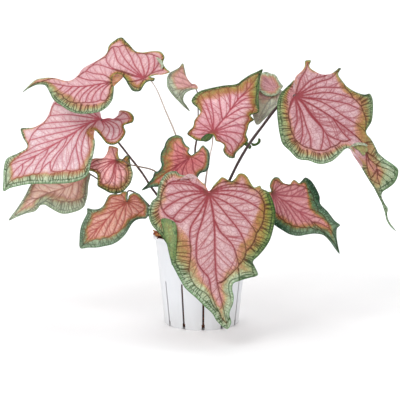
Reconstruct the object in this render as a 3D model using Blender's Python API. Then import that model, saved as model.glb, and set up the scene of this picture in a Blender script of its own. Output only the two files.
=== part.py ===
"""A potted caladium: twelve heart-shaped leaves on thin stalks, a corm, potting bark and a slotted pot.

The pot stands on the floor with the middle of its base at the origin. +Z is up and the plant's best
side faces -Y. Each leaf was drawn from one photograph: its outline is a list of places in that
400 x 400 picture, and the eye below turns each place into a line of sight. A leaf lies on a slanted
plane at a chosen distance, so its outline falls where the picture shows it, and its arch and its
ruffled margin move points along those same lines.
"""
import math

import bmesh
import bpy
from mathutils import Vector, geometry

# The pot, in metres.
POT_HEIGHT = 0.120
POT_BASE_RADIUS = 0.050
POT_NECK_RADIUS = 0.0620
POT_RIM_RADIUS = 0.0650
POT_WALL = 0.0018
POT_FLOOR = 0.0022
RIM_DROP = 0.0048
POT_STEPS = 48
SLOT_COUNT = 12
SLOT_TURN = math.radians(2.5)
SLIT_WIDTH = 0.0026
SLIT_TOP = 0.062
DRAIN_WIDTH = 0.0042
DRAIN_TOP = 0.0080

# What fills it.
GAP = 0.0003
SOIL_TOP = 0.1155
SOIL_MOUND = 0.0010
CORM_RADIUS = 0.0175
CORM_HALF_HEIGHT = 0.0070
CORM_Z = 0.1165
DIP_DEPTH = 0.0060

# Blades and stalks.
BLADE = 0.0012
MARGIN_STEPS = 2
MESH_STEP = 0.013
RUFFLE_POWER = 2.5
STALK_FOOT_RADIUS = 0.0019
STALK_SIDES_SETTING = 1
STALK_POINTS = 22
FOOT_RISE = 0.010
HEAD_CLEARANCE = 0.0005

# The eye that saw the picture, and the picture's scale.
PICTURE_MIDDLE = 200.0
PICTURE_FOCUS = 1095.0
EYE = Vector((-0.002, -1.455, 0.363))
EYE_DOWN = math.radians(7.7)

# One entry for each leaf. junction, outline and tip are places in the picture, and an outline
# starts at the notch where the stalk comes in. A third number lifts that stretch of margin towards
# the eye, in millimetres. depth is the junction's Y in metres; lean and turn aim the blade's face,
# up from level and away from -Y; arch and fall are its curve along and across the midrib.
LEAVES = {
    "leaf_high_left": dict(
        junction=(144, 78.5), tip=(22.7, 91.9), depth=-0.005, lean=40, turn=-14,
        arch=0.018, fall=0.012,
        outline=[(150, 76, 2), (156, 75.5, -3), (162, 74.6, -4), (169.9, 71.6, 0), (164, 65.4, 3),
                 (163.5, 54, 4), (153.1, 51, 0), (142.9, 52, -3), (133.9, 49.8, 0), (126.3, 41.5, 5),
                 (121.8, 37, 6), (114.8, 40.2, 3), (108.4, 46.6, -2), (104.6, 55.5, -4),
                 (91.8, 63.2, 0), (81.6, 69.5, 3), (75.3, 77.8, 0), (66.3, 81, -3), (51, 77.4, 2),
                 (37, 78.5, 2), (22.7, 91.9, 0), (37, 84.2, 0), (44.6, 84.8, 2), (53.6, 99.5, 5),
                 (61.2, 105.3, 4), (70.2, 111, 0), (79.1, 113.5, -2), (91.8, 112.9, 2),
                 (100.8, 111, 5), (109.7, 104, 5), (113.7, 92, 2), (117, 80, -4), (125, 78.8, -4),
                 (130.1, 87.4, 2), (135.2, 91.2, 4), (140.3, 90.6, 4), (149.2, 80.4, 3)]),
    "leaf_big_left": dict(
        junction=(100.8, 119.3), tip=(3.6, 190.7), depth=0.004, lean=30, turn=-22,
        arch=0.020, fall=0.013,
        outline=[(101.5, 115.5, 0), (99, 107, -2), (97, 100, -2), (88, 93, 0), (74, 90, 2),
                 (60, 95, 2), (52.9, 102.7, 0), (48.5, 114.2, -3), (44.6, 120.6, -2),
                 (34.4, 126.9, 3), (21, 128.2, 5), (23, 137.1, 2), (27.4, 146.7, -3),
                 (19.1, 152.4, 0), (6.4, 158.8, 4), (3.8, 167.8, 2), (3.6, 190.7, 0),
                 (16.6, 186.3, 0), (30.6, 183.7, -2), (51, 183.7, 1), (70.2, 182.4, 3),
                 (81.6, 179.2, 2), (88, 174.1, 0), (90.6, 163.9, -2), (93.7, 152.4, 0),
                 (95, 142.2, 3), (95.5, 134, 3), (100.8, 135.9, 0), (107.1, 143.5, -2),
                 (114.8, 144.2, 0), (121.2, 139.7, 3), (125.6, 132, 3), (124.5, 125, 0),
                 (132.7, 121.8, 2), (133.9, 116.7, 3), (128.8, 111.6, 0), (119.3, 110.4, -4),
                 (112, 115, -3), (105, 117, -1)]),
    "leaf_low_left": dict(
        junction=(84, 170), tip=(8.9, 220), depth=0.018, lean=30, turn=-20,
        arch=0.012, fall=0.008,
        outline=[(86.5, 168, 0), (84, 160, 0), (76, 152, 0), (64, 152, 2), (52, 160, 0),
                 (40, 172, -2), (30.6, 184.3, 0), (25.5, 194.5, 2), (16.6, 208.6, 0),
                 (8.9, 220, 0), (25.5, 213, 0), (34.4, 211.1, 2), (42, 204.5, -2),
                 (53.6, 209.8, 2), (62.5, 213.7, 3), (74, 211.8, 2), (84.2, 206, -1),
                 (88, 195.8, -2), (89.4, 183, 0), (90.5, 174, 0)]),
    "leaf_small_left": dict(
        junction=(116.5, 159.9), tip=(84, 168.5), depth=-0.014, lean=24, turn=-8,
        arch=0.006, fall=0.006,
        outline=[(119.8, 158.4, 0), (117.9, 153.7, 0), (117.9, 147.4, 2), (109, 146, 3),
                 (106, 153, 0), (96, 158.2, -2), (89, 161, 0), (84, 168.5, 0), (90.7, 170.9, 0),
                 (95.6, 172.8, 0), (97.4, 178.5, 0), (98, 186, 2), (104.5, 189.8, 3), (109.8, 192.5, 2),
                 (117, 193, 0), (122.3, 191.6, 2), (126.3, 188, 3), (129.9, 183.6, 1),
                 (132.4, 178.2, 0), (132.6, 172.9, -2), (131.3, 168.4, -4), (129.9, 161.3, -5),
                 (127.5, 156.5, -5), (123.2, 156.8, -4)]),
    "leaf_bottom_left": dict(
        junction=(126.8, 201.8), tip=(80.4, 247.8), depth=-0.022, lean=22, turn=-8,
        arch=0.012, fall=0.008,
        outline=[(127.4, 198.6, 0), (127.2, 192.5, 0), (125, 190.8, 2), (119.8, 193.9, 3),
                 (109.8, 194.8, -2), (105.7, 199.8, -2), (102.3, 206.4, 2), (96, 208.9, 3),
                 (88, 209.5, 0), (83.3, 220.5, 0), (80.8, 227.1, 2), (79.5, 237.9, 2),
                 (80.4, 247.8, 0), (96.5, 247.4, 2), (104.8, 245.8, 0), (113.1, 243.7, -2),
                 (119.8, 239.6, 0), (125.6, 233.7, 3), (129.7, 227.1, 2), (135.5, 220.5, -2),
                 (141, 218.4, 0), (146.7, 217.5, 2), (148.6, 211.4, 2), (148.4, 204.7, 0),
                 (144.6, 199.8, -2), (139.7, 193.9, 0), (134, 192, 3), (129.5, 195, 0)]),
    "leaf_centre_red": dict(
        junction=(191, 156.6), tip=(141.7, 190), depth=-0.020, lean=26, turn=-6,
        arch=0.009, fall=0.007,
        outline=[(191.4, 154, 0), (188.6, 151, 2), (189.2, 147, 3), (184.5, 142, 0),
                 (182, 136.5, -2), (175.7, 135, 0), (169, 137.9, 2), (165.3, 143, 0),
                 (160.7, 152.9, -2), (160.3, 159.5, 0), (161.2, 165.3, 2), (156, 171.3, 0),
                 (152.4, 177.7, 2), (147.5, 183.5, 0), (141.7, 190, 0), (150, 187.4, 0),
                 (160, 186.5, 0), (172, 190, 2), (186, 188, 0), (196, 180, -2), (203, 171.5, 0),
                 (208.8, 166, 2), (209.7, 156, 2), (207.5, 149, 0), (202.6, 145.2, -2),
                 (197, 149.5, 0)]),
    "leaf_upright": dict(
        junction=(213.4, 132.1), tip=(262.7, 69), depth=0.015, lean=26, turn=4,
        arch=0.013, fall=0.010,
        outline=[(212, 135.5, 0), (206, 140, 3), (198, 140, 4), (191.4, 137.1, 0),
                 (187.3, 133.8, 0), (188.9, 130.5, 2), (193.6, 125, 0), (196, 119, -2),
                 (200, 112, 0), (195, 105.5, 2), (191.4, 100.6, 3), (193.9, 95.7, 2),
                 (199.7, 90.7, 0), (208.8, 88.2, -2), (222.9, 85.3, 0), (237, 83.6, 3),
                 (243.5, 78.5, 2), (250.3, 74.1, 0), (262.7, 69, 0), (260.2, 78, -2),
                 (258.6, 92, 0), (259.2, 108, 2), (253.5, 114, 0), (252.2, 121.5, -3),
                 (248, 129, 0), (247.5, 136, 3), (247.5, 141.5, 0), (242.8, 146.2, -3),
                 (238.7, 150, 0), (234.9, 157.8, 3), (229, 157.6, 2), (223.2, 150.5, 0),
                 (222.5, 144.6, -2), (216.5, 140, 0)]),
    "leaf_back_right": dict(
        junction=(277, 91), tip=(256.4, 124.3), depth=0.062, lean=20, turn=6,
        arch=0.006, fall=0.005,
        outline=[(279.4, 89.2, 0), (283.2, 86.2, 0), (281.4, 83.7, 2), (278.8, 80, 0),
                 (275.6, 75, 2), (270.7, 72.6, 0), (264, 71.9, -2), (257, 76, 0), (252, 88, 0),
                 (251, 100, 0), (252.5, 114, 0), (256.4, 124.3, 0), (264, 119.4, 0),
                 (270.7, 112.7, 2), (277, 107, 0), (286, 104, 0), (290, 97, 0), (285, 91.5, 0)]),
    "leaf_big_right": dict(
        junction=(295, 96.5), tip=(396, 230.8), depth=-0.006, lean=30, turn=20,
        arch=0.022, fall=0.014,
        outline=[(293.5, 91.5, -2), (294.3, 84, 0), (294.5, 76.4, 2), (301.7, 70.6, 0),
                 (305, 65.8, -3), (307, 60.5, -4), (310, 66.8, -3), (315.1, 71.6, 0),
                 (322.7, 74.4, 3), (331.3, 73.5, 0), (338, 71, -3), (341.9, 80.2, 0),
                 (347.6, 86.9, 3), (357.2, 92.2, 3), (367, 94.5, 0), (372.5, 99.3, -2),
                 (373, 108.9, 0), (371.5, 121.3, 3), (367.4, 132, 0), (371, 139, -3),
                 (377, 150.5, 0), (384.3, 158.2, 4), (393.8, 164.8, 5), (398, 171.5, 3),
                 (394.6, 182.4, 0), (388.7, 187.5, -2), (382.5, 192.5, -3), (384.6, 202, 0),
                 (387.4, 211, 2), (389.6, 221.2, 0), (396, 230.8, 0), (390.9, 226.4, 0),
                 (387.2, 220.5, 0), (384, 209, 2), (379.5, 198, 0), (374, 187.5, -2),
                 (365.2, 173.6, 0), (360.5, 164, 3), (354, 153.5, 2), (347.5, 148.2, -2),
                 (340, 153.9, 0), (332.3, 160.6, 4), (321.8, 163.9, 4), (309.3, 160.6, 0),
                 (297.8, 158.7, -3), (290.2, 151, 0), (282.5, 143.3, 4), (279.7, 133.8, 2),
                 (278.2, 123.3, -2), (277.3, 108.9, 0), (279.2, 98.4, 3), (284, 91, 4),
                 (290, 88, 2)]),
    "leaf_front": dict(
        junction=(209.2, 193), tip=(227.5, 328.7), depth=-0.070, lean=22, turn=3,
        arch=0.021, fall=0.014,
        outline=[(208.6, 190.5, 0), (205.5, 184.8, 2), (200, 180, 3), (191.4, 174.5, 0),
                 (183, 176, -3), (175.7, 171.5, 0), (167.4, 172.4, 3), (162, 178, 2),
                 (158.6, 186, 0), (157, 195, -2), (151.5, 202, 0), (148.7, 212, 3),
                 (149.8, 220.5, 4), (155, 229, 0), (161.5, 236.5, -3), (166.5, 244, 0),
                 (169, 253.7, 3), (175.7, 271.1, 0), (183, 285, -3), (190, 293, 0),
                 (204.7, 306.3, 3), (212.1, 313.1, 1), (218.5, 322, 0), (227.5, 328.7, 0),
                 (231, 321, 0), (230.2, 309.6, 2), (233.4, 297, 2), (232.4, 286, -2),
                 (238, 281, 0), (250.3, 277.3, 4), (257.6, 275, 3), (255.3, 267.3, 0),
                 (254, 260, -3), (261, 253, 0), (268, 243, 4), (273, 230, 2), (275.5, 211.7, -2),
                 (272, 199, 0), (266, 190, 3), (258, 186, 0), (250.5, 182, -3),
                 (243.5, 174, 0), (238.7, 173.7, 3), (234, 179, 2), (227.5, 179.6, -2),
                 (221.7, 177, 2), (216.5, 181, 2), (212, 187, 0)]),
    "leaf_low_right": dict(
        junction=(271.6, 194), tip=(339.5, 253.3), depth=-0.026, lean=22, turn=10,
        arch=0.014, fall=0.009,
        outline=[(270.6, 190, 0), (270, 183, 2), (276, 176.8, 3), (283.5, 182, 0), (289.5, 183, -2),
                 (294.5, 179.6, 0), (299.2, 182.2, 2), (305.3, 177.6, 2), (311.5, 180.5, 0),
                 (316, 187.5, -2), (319.6, 196.1, 0), (321, 204, 2), (327.8, 211.4, 0),
                 (334.9, 220.6, -2), (338.5, 227, 0), (337.4, 238, 2), (339.5, 253.3, 0),
                 (334.5, 247, 0), (329, 240, 2), (322, 234.6, 0), (306.3, 234.4, -2),
                 (298.2, 235.9, 0), (289, 233.9, 3), (279, 228.5, 2), (268, 220, 0),
                 (261, 208, 0), (262, 196, 0), (267.5, 190.5, 0)]),
    "leaf_far_back": dict(
        junction=(193, 85), tip=(189.8, 111), depth=0.125, lean=8, turn=0,
        arch=0.005, fall=0.004,
        outline=[(194.6, 83.6, 0), (189.8, 81, 0), (186.5, 76.6, 0), (184.6, 69.1, 2),
                 (182.8, 62.9, 3), (178.5, 67.4, 0), (171.5, 71.5, -2), (166.8, 79.5, 0),
                 (167, 86.1, 2), (170.7, 92.3, 0), (179, 101.5, 2), (184, 106.5, 0),
                 (189.8, 111, 0), (186.6, 105.4, 0), (184.4, 99.5, 0), (186.4, 94, 0),
                 (191, 90.4, 0), (197.7, 88.4, 0), (198.4, 86, 0)]),
}

# One entry for each stalk, from its leaf down to the corm: places in the picture, each with its Y in
# millimetres. top is the radius just under the blade in metres, and side is -1 where the stalk meets
# the blade from behind, as most do, or 1 where it comes over the front. seat is its foot on the
# corm: the distance from the middle in metres, and the direction in degrees from +X.
STALKS = {
    "stalk_high_left": dict(leaf="leaf_high_left", top=0.0007, side=-1, seat=(0.0050, 120),
                            route=[(149.5, 79.4, 2), (155.5, 87, 5), (166, 111.5, 9), (175.5, 134, 10),
                                   (186, 170, 8), (195, 205, 4)]),
    "stalk_big_left": dict(leaf="leaf_big_left", top=0.0011, side=-1, seat=(0.0115, 172),
                           route=[(107, 128, 6), (118.3, 142, 2), (127.7, 154, -2),
                                  (134.8, 163, -4), (142.9, 173.8, -4), (152.7, 188.9, -3),
                                  (170, 210, 0), (186, 226, 0)]),
    "stalk_low_left": dict(leaf="leaf_low_left", top=0.0009, side=-1, seat=(0.0115, 135),
                           route=[(98, 179, 28), (113.5, 191.8, 26), (130, 204, 20), (147, 214, 14),
                                  (165, 223, 9), (182, 230, 6)]),
    "stalk_small_left": dict(leaf="leaf_small_left", top=0.0008, side=1, seat=(0.0115, 206),
                             route=[(121.4, 158.9, -15), (128.6, 163.7, -14), (139.5, 166.3, -9),
                                    (155, 171, -6), (171, 190, -4), (184, 214, -5)]),
    "stalk_bottom_left": dict(leaf="leaf_bottom_left", top=0.0009, side=-1, seat=(0.0115, 240),
                              route=[(126.9, 197, -13), (128.5, 190.5, -4), (136, 193, 2),
                                     (156, 212, -2), (176, 227, -6)]),
    "stalk_centre_red": dict(leaf="leaf_centre_red", top=0.0009, side=-1, seat=(0.0050, 240),
                             route=[(193, 168, -8), (196, 190, -4), (199, 215, -1)]),
    "stalk_upright": dict(leaf="leaf_upright", top=0.0007, side=-1, seat=(0.0050, 0),
                          route=[(212.9, 136.5, 21), (212, 146, 17), (210.1, 153.7, 12), (206.3, 176.1, 4),
                                 (203.5, 205, 3)]),
    "stalk_back_right": dict(leaf="leaf_back_right", top=0.0008, side=-1, seat=(0.0115, 50),
                             route=[(273, 108, 62), (263, 125, 54), (249, 144, 42),
                                    (237.5, 163.5, 30), (222, 195, 16), (210, 219, 8)]),
    "stalk_big_right": dict(leaf="leaf_big_right", top=0.0016, side=-1, seat=(0.0115, 8),
                            route=[(287, 99, 4), (277, 107, 0), (263, 125, -6), (249, 144, -10),
                                   (237.5, 163.5, -9), (229, 181, -8), (216, 208, -4)]),
    "stalk_front": dict(leaf="leaf_front", top=0.0011, side=-1, seat=(0.0115, 280),
                        route=[(208.5, 192, -58), (206.5, 198, -42), (204.5, 212, -24)]),
    "stalk_low_right": dict(leaf="leaf_low_right", top=0.0010, side=-1, seat=(0.0115, 324),
                            route=[(268, 193, -16), (255, 194, -12), (238, 203, -8),
                                   (222, 217, -6), (211, 228, -6)]),
    "stalk_far_back": dict(leaf="leaf_far_back", top=0.0007, side=-1, seat=(0.0115, 95),
                           route=[(197, 91, 132), (198, 106, 130), (198, 122, 100), (196.4, 140.4, 70),
                                  (195.1, 149.6, 62), (197, 190, 30), (200, 215, 15)]),
}

COLOURS = {
    "pot": ((0.78, 0.80, 0.82), 0.45),
    "bark": ((0.16, 0.07, 0.04), 0.95),
    "corm": ((0.20, 0.11, 0.06), 0.85),
    "blade": ((0.72, 0.36, 0.38), 0.50),
    "stalk": ((0.10, 0.04, 0.04), 0.45),
}


def sight(x, y):
    """The line of sight through a place in the picture, as a step that goes 1 forward."""
    right = (x - PICTURE_MIDDLE) / PICTURE_FOCUS
    up = (PICTURE_MIDDLE - y) / PICTURE_FOCUS
    forward = Vector((0, math.cos(EYE_DOWN), -math.sin(EYE_DOWN)))
    return Vector((right, 0, 0)) + forward + up * Vector((0, math.sin(EYE_DOWN), math.cos(EYE_DOWN)))


def place(x, y, depth):
    """The point seen at x, y whose Y is depth."""
    step = sight(x, y)
    return EYE + step * ((depth - EYE.y) / step.y)


def facing(lean, turn):
    """The direction that a blade faces."""
    lean = math.radians(lean)
    turn = math.radians(turn)
    return Vector((math.sin(turn) * math.cos(lean), -math.cos(turn) * math.cos(lean), math.sin(lean)))


def on_plane(x, y, origin, normal):
    """Where the line of sight through x, y meets a plane."""
    step = sight(x, y)
    return EYE + step * ((origin - EYE).dot(normal) / step.dot(normal))


def round_loop(points, parameter):
    """A point on the closed Catmull-Rom curve through points, at parameter counted in points."""
    start = math.floor(parameter)
    f = parameter - start
    a, b, c, d = (points[(start + step) % len(points)] for step in (-1, 0, 1, 2))
    return 0.5 * (2 * b + (c - a) * f + (2 * a - 5 * b + 4 * c - d) * f ** 2
                  + (3 * b - a - 3 * c + d) * f ** 3)


def even_steps(knots, count):
    """count points, evenly spaced, on a centripetal curve through knots, which never overshoots."""
    ends = [2 * knots[0] - knots[1]] + knots + [2 * knots[-1] - knots[-2]]
    fine = []
    for i in range(1, len(ends) - 2):
        a, b, c, d = ends[i - 1:i + 3]
        t1 = (b - a).length ** 0.5
        t2 = t1 + (c - b).length ** 0.5
        t3 = t2 + (d - c).length ** 0.5
        for step in range(24):
            t = t1 + (t2 - t1) * step / 24
            ab = a.lerp(b, t / t1)
            bc = b.lerp(c, (t - t1) / (t2 - t1))
            cd = c.lerp(d, (t - t2) / (t3 - t2))
            fine.append(ab.lerp(bc, t / t2).lerp(bc.lerp(cd, (t - t1) / (t3 - t1)), (t - t1) / (t2 - t1)))
    fine.append(knots[-1])
    lengths = [0.0]
    for here, there in zip(fine, fine[1:]):
        lengths.append(lengths[-1] + (there - here).length)
    points = []
    segment = 0
    for i in range(count):
        wanted = lengths[-1] * i / (count - 1)
        while segment < len(fine) - 2 and lengths[segment + 1] < wanted:
            segment += 1
        share = (wanted - lengths[segment]) / (lengths[segment + 1] - lengths[segment])
        points.append(fine[segment].lerp(fine[segment + 1], min(share, 1.0)))
    return points


class Blade:
    """The middle surface of one leaf, drawn flat as (across, along) the midrib and then bent."""

    def __init__(self, leaf):
        self.normal = facing(leaf["lean"], leaf["turn"])
        self.origin = place(*leaf["junction"], leaf["depth"])
        self.arch = leaf["arch"]
        self.fall = leaf["fall"]
        to_tip = on_plane(*leaf["tip"], self.origin, self.normal) - self.origin
        self.length = to_tip.length
        self.along = to_tip.normalized()
        self.across = self.normal.cross(self.along)
        knots = []
        for x, y, lift in leaf["outline"]:
            offset = on_plane(x, y, self.origin, self.normal) - self.origin
            knots.append(Vector((offset.dot(self.across), offset.dot(self.along), lift * 0.001)))
        count = len(knots) * MARGIN_STEPS
        self.margin = [round_loop(knots, i / MARGIN_STEPS) for i in range(count)]

    def point(self, across, along):
        """Where a place on the flat drawing lies on the arched and ruffled blade."""
        flat = self.origin + across * self.across + along * self.along
        nearest = self.length
        total = 0.0
        lift = 0.0
        for edge in self.margin:
            distance = math.hypot(edge.x - across, edge.y - along) + 1e-6
            nearest = min(nearest, distance)
            total += distance ** -3
            lift += edge.z * distance ** -3
        from_junction = math.hypot(across, along)
        outward = from_junction / (from_junction + nearest)
        down = min(along / self.length, 1.0)
        arched = down * (1 - down) if down > 0 else down / (1 - 3 * down)
        side = across / self.length
        lift = lift / total * outward ** RUFFLE_POWER + 4 * self.arch * arched - 4 * self.fall * side ** 2
        return flat + lift * (EYE - flat).normalized()

    def inside(self, across, along):
        """Whether a place on the flat drawing is inside the margin, and not right beside it."""
        crossings = 0
        for here, there in zip(self.margin, self.margin[1:] + self.margin[:1]):
            if math.hypot(here.x - across, here.y - along) < 0.6 * MESH_STEP:
                return False
            if (here.y > along) != (there.y > along):
                if across < here.x + (there.x - here.x) * (along - here.y) / (there.y - here.y):
                    crossings += 1
        return crossings % 2 == 1


def material(name):
    made = bpy.data.materials.get(name)
    if made is None:
        colour, roughness = COLOURS[name]
        made = bpy.data.materials.new(name)
        made.use_nodes = True
        shader = made.node_tree.nodes["Principled BSDF"]
        shader.inputs["Base Color"].default_value = (*colour, 1)
        shader.inputs["Roughness"].default_value = roughness
        shader.inputs["Metallic"].default_value = 0.0
    return made


def add_object(name, data, finish):
    made = bpy.data.objects.new(name, data)
    bpy.context.collection.objects.link(made)
    data.materials.append(material(finish))
    return made


def add_turned(name, profile, steps, finish):
    """A solid turned about Z from a profile of (radius, z) that starts and ends on the axis."""
    shape = bmesh.new()
    previous = None
    for radius, z in profile:
        if radius == 0:
            ring = [shape.verts.new((0, 0, z))]
        else:
            ring = [shape.verts.new((radius * math.cos(2 * math.pi * i / steps),
                                     radius * math.sin(2 * math.pi * i / steps), z))
                    for i in range(steps)]
        if previous is not None:
            for i in range(steps):
                j = (i + 1) % steps
                corners = [previous[i % len(previous)], previous[j % len(previous)],
                           ring[j % len(ring)], ring[i % len(ring)]]
                shape.faces.new(list(dict.fromkeys(corners)))
        previous = ring
    bmesh.ops.recalc_face_normals(shape, faces=shape.faces)
    mesh = bpy.data.meshes.new(name)
    shape.to_mesh(mesh)
    shape.free()
    mesh.shade_smooth()
    mesh.set_sharp_from_angle(angle=math.radians(35))
    return add_object(name, mesh, finish)


def inner_radius(z):
    """The radius of the pot's inner wall at a height."""
    share = z / (POT_HEIGHT - RIM_DROP)
    return POT_BASE_RADIUS - POT_WALL + share * (POT_NECK_RADIUS - POT_BASE_RADIUS)


def add_cutter(name, width, top):
    """Wedges round the pot that open its wall from below the base up to a height."""
    shape = bmesh.new()
    reach_in = POT_BASE_RADIUS - POT_WALL - 0.0008
    reach_out = POT_RIM_RADIUS + 0.010
    below = -0.002
    for slot in range(SLOT_COUNT):
        angle = 2 * math.pi * slot / SLOT_COUNT - math.pi / 2 + SLOT_TURN
        outward = Vector((math.cos(angle), math.sin(angle), 0))
        sideways = Vector((-math.sin(angle), math.cos(angle), 0))
        made = bmesh.ops.create_cube(shape, size=1)
        for vertex in made["verts"]:
            radius = reach_out if vertex.co.x > 0 else reach_in
            height = top if vertex.co.z > 0 else below
            vertex.co = outward * radius + sideways * (vertex.co.y * width) + Vector((0, 0, height))
    bmesh.ops.recalc_face_normals(shape, faces=shape.faces)
    mesh = bpy.data.meshes.new(name)
    shape.to_mesh(mesh)
    shape.free()
    cutter = add_object(name, mesh, "pot")
    cutter.hide_render = True
    cutter.display_type = "WIRE"
    return cutter


def add_pot():
    """The white pot: a straight taper, a rolled rim, and slots up the wall from the base."""
    rim_foot = POT_HEIGHT - RIM_DROP
    roll = 0.0012
    profile = [
        (0, 0), (POT_BASE_RADIUS - 0.0015, 0), (POT_BASE_RADIUS, 0.0015),
        (POT_NECK_RADIUS, rim_foot), (POT_RIM_RADIUS - roll / 2, rim_foot),
        (POT_RIM_RADIUS, rim_foot + roll), (POT_RIM_RADIUS, POT_HEIGHT - roll),
        (POT_RIM_RADIUS - roll, POT_HEIGHT),
        (inner_radius(POT_HEIGHT) + roll / 2, POT_HEIGHT),
        (inner_radius(POT_HEIGHT), POT_HEIGHT - roll / 2),
        (inner_radius(POT_FLOOR), POT_FLOOR), (0, POT_FLOOR),
    ]
    pot = add_turned("pot", profile, POT_STEPS, "pot")
    for cutter in (add_cutter("slit_cutter", SLIT_WIDTH, SLIT_TOP),
                   add_cutter("drain_cutter", DRAIN_WIDTH, DRAIN_TOP)):
        cut = pot.modifiers.new(cutter.name, "BOOLEAN")
        cut.operation = "DIFFERENCE"
        cut.object = cutter


def add_filling():
    """The bark that fills the pot almost to its rim, with a shallow dip that holds the corm."""
    steps = 36
    clear = GAP + 0.0003
    dip_radius = CORM_RADIUS + 3 * GAP
    profile = [
        (0, POT_FLOOR + GAP), (inner_radius(0.004) - clear, POT_FLOOR + GAP),
        (inner_radius(0.06) - clear, 0.06), (inner_radius(SOIL_TOP) - clear, SOIL_TOP - 0.0015),
        (inner_radius(SOIL_TOP) - clear - 0.003, SOIL_TOP),
        (0.5 * (dip_radius + inner_radius(SOIL_TOP)), SOIL_TOP + SOIL_MOUND),
        (dip_radius, SOIL_TOP), (0.72 * dip_radius, CORM_Z - DIP_DEPTH - 2 * GAP),
        (0, CORM_Z - CORM_HALF_HEIGHT - GAP),
    ]
    add_turned("bark", profile, steps, "bark")
    corm_profile = []
    corm_rings = 8
    for ring in range(corm_rings + 1):
        angle = math.pi * (ring / corm_rings - 0.5)
        radius = 0 if ring in (0, corm_rings) else CORM_RADIUS * math.cos(angle)
        corm_profile.append((radius, CORM_Z + CORM_HALF_HEIGHT * math.sin(angle)))
    add_turned("corm", corm_profile, 24, "corm")


def add_blade(name, blade):
    """A closed plate: the margin filled with triangles on an even grid, bent, and thickened both ways."""
    places = [Vector((0, 0))] + [edge.to_2d() for edge in blade.margin]
    reach = int(1.4 * blade.length / MESH_STEP)
    for row in range(-reach, reach + 1):
        for column in range(-reach, reach + 1):
            across = (column + 0.5 * (row % 2)) * MESH_STEP
            along = row * MESH_STEP * math.sqrt(0.75)
            if math.hypot(across, along) > 0.7 * MESH_STEP and blade.inside(across, along):
                places.append(Vector((across, along)))
    outline = [list(range(1, len(blade.margin) + 1))]
    flat, _, faces, _, _, _ = geometry.delaunay_2d_cdt(places, [], outline, 1, 1e-7)
    mesh = bpy.data.meshes.new(name)
    mesh.from_pydata([blade.point(*spot) for spot in flat], [], faces)
    mesh.shade_smooth()
    made = add_object(name, mesh, "blade")
    plate = made.modifiers.new("thickness", "SOLIDIFY")
    plate.thickness = BLADE
    plate.offset = 0.0


def corm_top(radius):
    """The height of the corm's upper surface at a distance from its middle."""
    return CORM_Z + CORM_HALF_HEIGHT * math.sqrt(1 - (radius / CORM_RADIUS) ** 2)


def add_stalk(name, stalk, blade):
    """A tapered stalk from its seat on the corm to the back of its blade, clear of both by a hair."""
    radius, direction = stalk["seat"]
    direction = math.radians(direction)
    foot = Vector((radius * math.cos(direction), radius * math.sin(direction), 0))
    inner_edge = max(radius - STALK_FOOT_RADIUS, 0)
    foot.z = corm_top(inner_edge) + GAP
    route = [place(x, y, depth * 0.001) for x, y, depth in stalk["route"]]
    approach = (blade.origin - route[0]).normalized()
    slant = math.sqrt(max(1 - approach.dot(blade.normal) ** 2, 0))
    clearance = BLADE / 2 + GAP + stalk["top"] * slant + HEAD_CLEARANCE
    head = blade.origin + stalk["side"] * blade.normal * clearance
    knots = [head] + route + [foot + Vector((0, 0, FOOT_RISE)), foot]
    curve = bpy.data.curves.new(name, "CURVE")
    curve.dimensions = "3D"
    curve.bevel_depth = 1.0
    curve.bevel_resolution = STALK_SIDES_SETTING
    curve.use_fill_caps = True
    spline = curve.splines.new("POLY")
    spline.points.add(STALK_POINTS - 1)
    for i, where in enumerate(even_steps(knots, STALK_POINTS)):
        share = i / (STALK_POINTS - 1)
        spline.points[i].co = (*where, 1)
        spline.points[i].radius = stalk["top"] + (STALK_FOOT_RADIUS - stalk["top"]) * share ** 2
    add_object(name, curve, "stalk")


def build():
    for old in list(bpy.data.objects):
        bpy.data.objects.remove(old)
    add_pot()
    add_filling()
    blades = {name: Blade(leaf) for name, leaf in LEAVES.items()}
    for name, leaf in LEAVES.items():
        add_blade(name, blades[name])
    for name, stalk in STALKS.items():
        add_stalk(name, stalk, blades[stalk["leaf"]])


build()
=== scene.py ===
# %% [markdown]
# # A potted caladium
# Twelve thin, heart-shaped leaves stand on slender stalks over a white slotted nursery pot. The blades
# are pink with red veins, and turn orange, olive and green towards a ruffled edge. The leaves carry
# the whole likeness, so most of this lesson is about drawing one leaf well and then drawing twelve.
#
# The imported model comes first. It fixes where every piece is, and nothing here moves it.

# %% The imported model
import math
import random
from functools import partial

import bmesh
import bpy
import numpy as np
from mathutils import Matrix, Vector, geometry, kdtree, noise


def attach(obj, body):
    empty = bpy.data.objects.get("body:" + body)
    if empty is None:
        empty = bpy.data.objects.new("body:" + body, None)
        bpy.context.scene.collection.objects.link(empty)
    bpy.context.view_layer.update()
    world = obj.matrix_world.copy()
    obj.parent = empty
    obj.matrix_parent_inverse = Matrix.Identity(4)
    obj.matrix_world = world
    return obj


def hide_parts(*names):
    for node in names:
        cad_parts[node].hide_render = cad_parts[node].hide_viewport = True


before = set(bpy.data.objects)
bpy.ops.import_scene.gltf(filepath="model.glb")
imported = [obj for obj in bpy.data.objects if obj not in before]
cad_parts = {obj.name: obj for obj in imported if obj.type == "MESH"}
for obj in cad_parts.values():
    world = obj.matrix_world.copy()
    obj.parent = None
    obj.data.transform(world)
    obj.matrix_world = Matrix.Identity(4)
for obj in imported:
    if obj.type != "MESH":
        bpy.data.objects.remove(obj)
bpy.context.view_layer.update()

MM = 0.001
print("the packed model has", len(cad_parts), "nodes")

# %% [markdown]
# ## The eye
# Each leaf was drawn from one photograph, so the camera stands where that photograph was taken: about
# 1.46 m in front of the pot, a little above the leaves, looking slightly down. A long lens fits what is
# a close, flat-looking view. The same numbers turn a place in the 400 x 400 picture into a line of
# sight, which is how the outlines further down become leaves.

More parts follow.
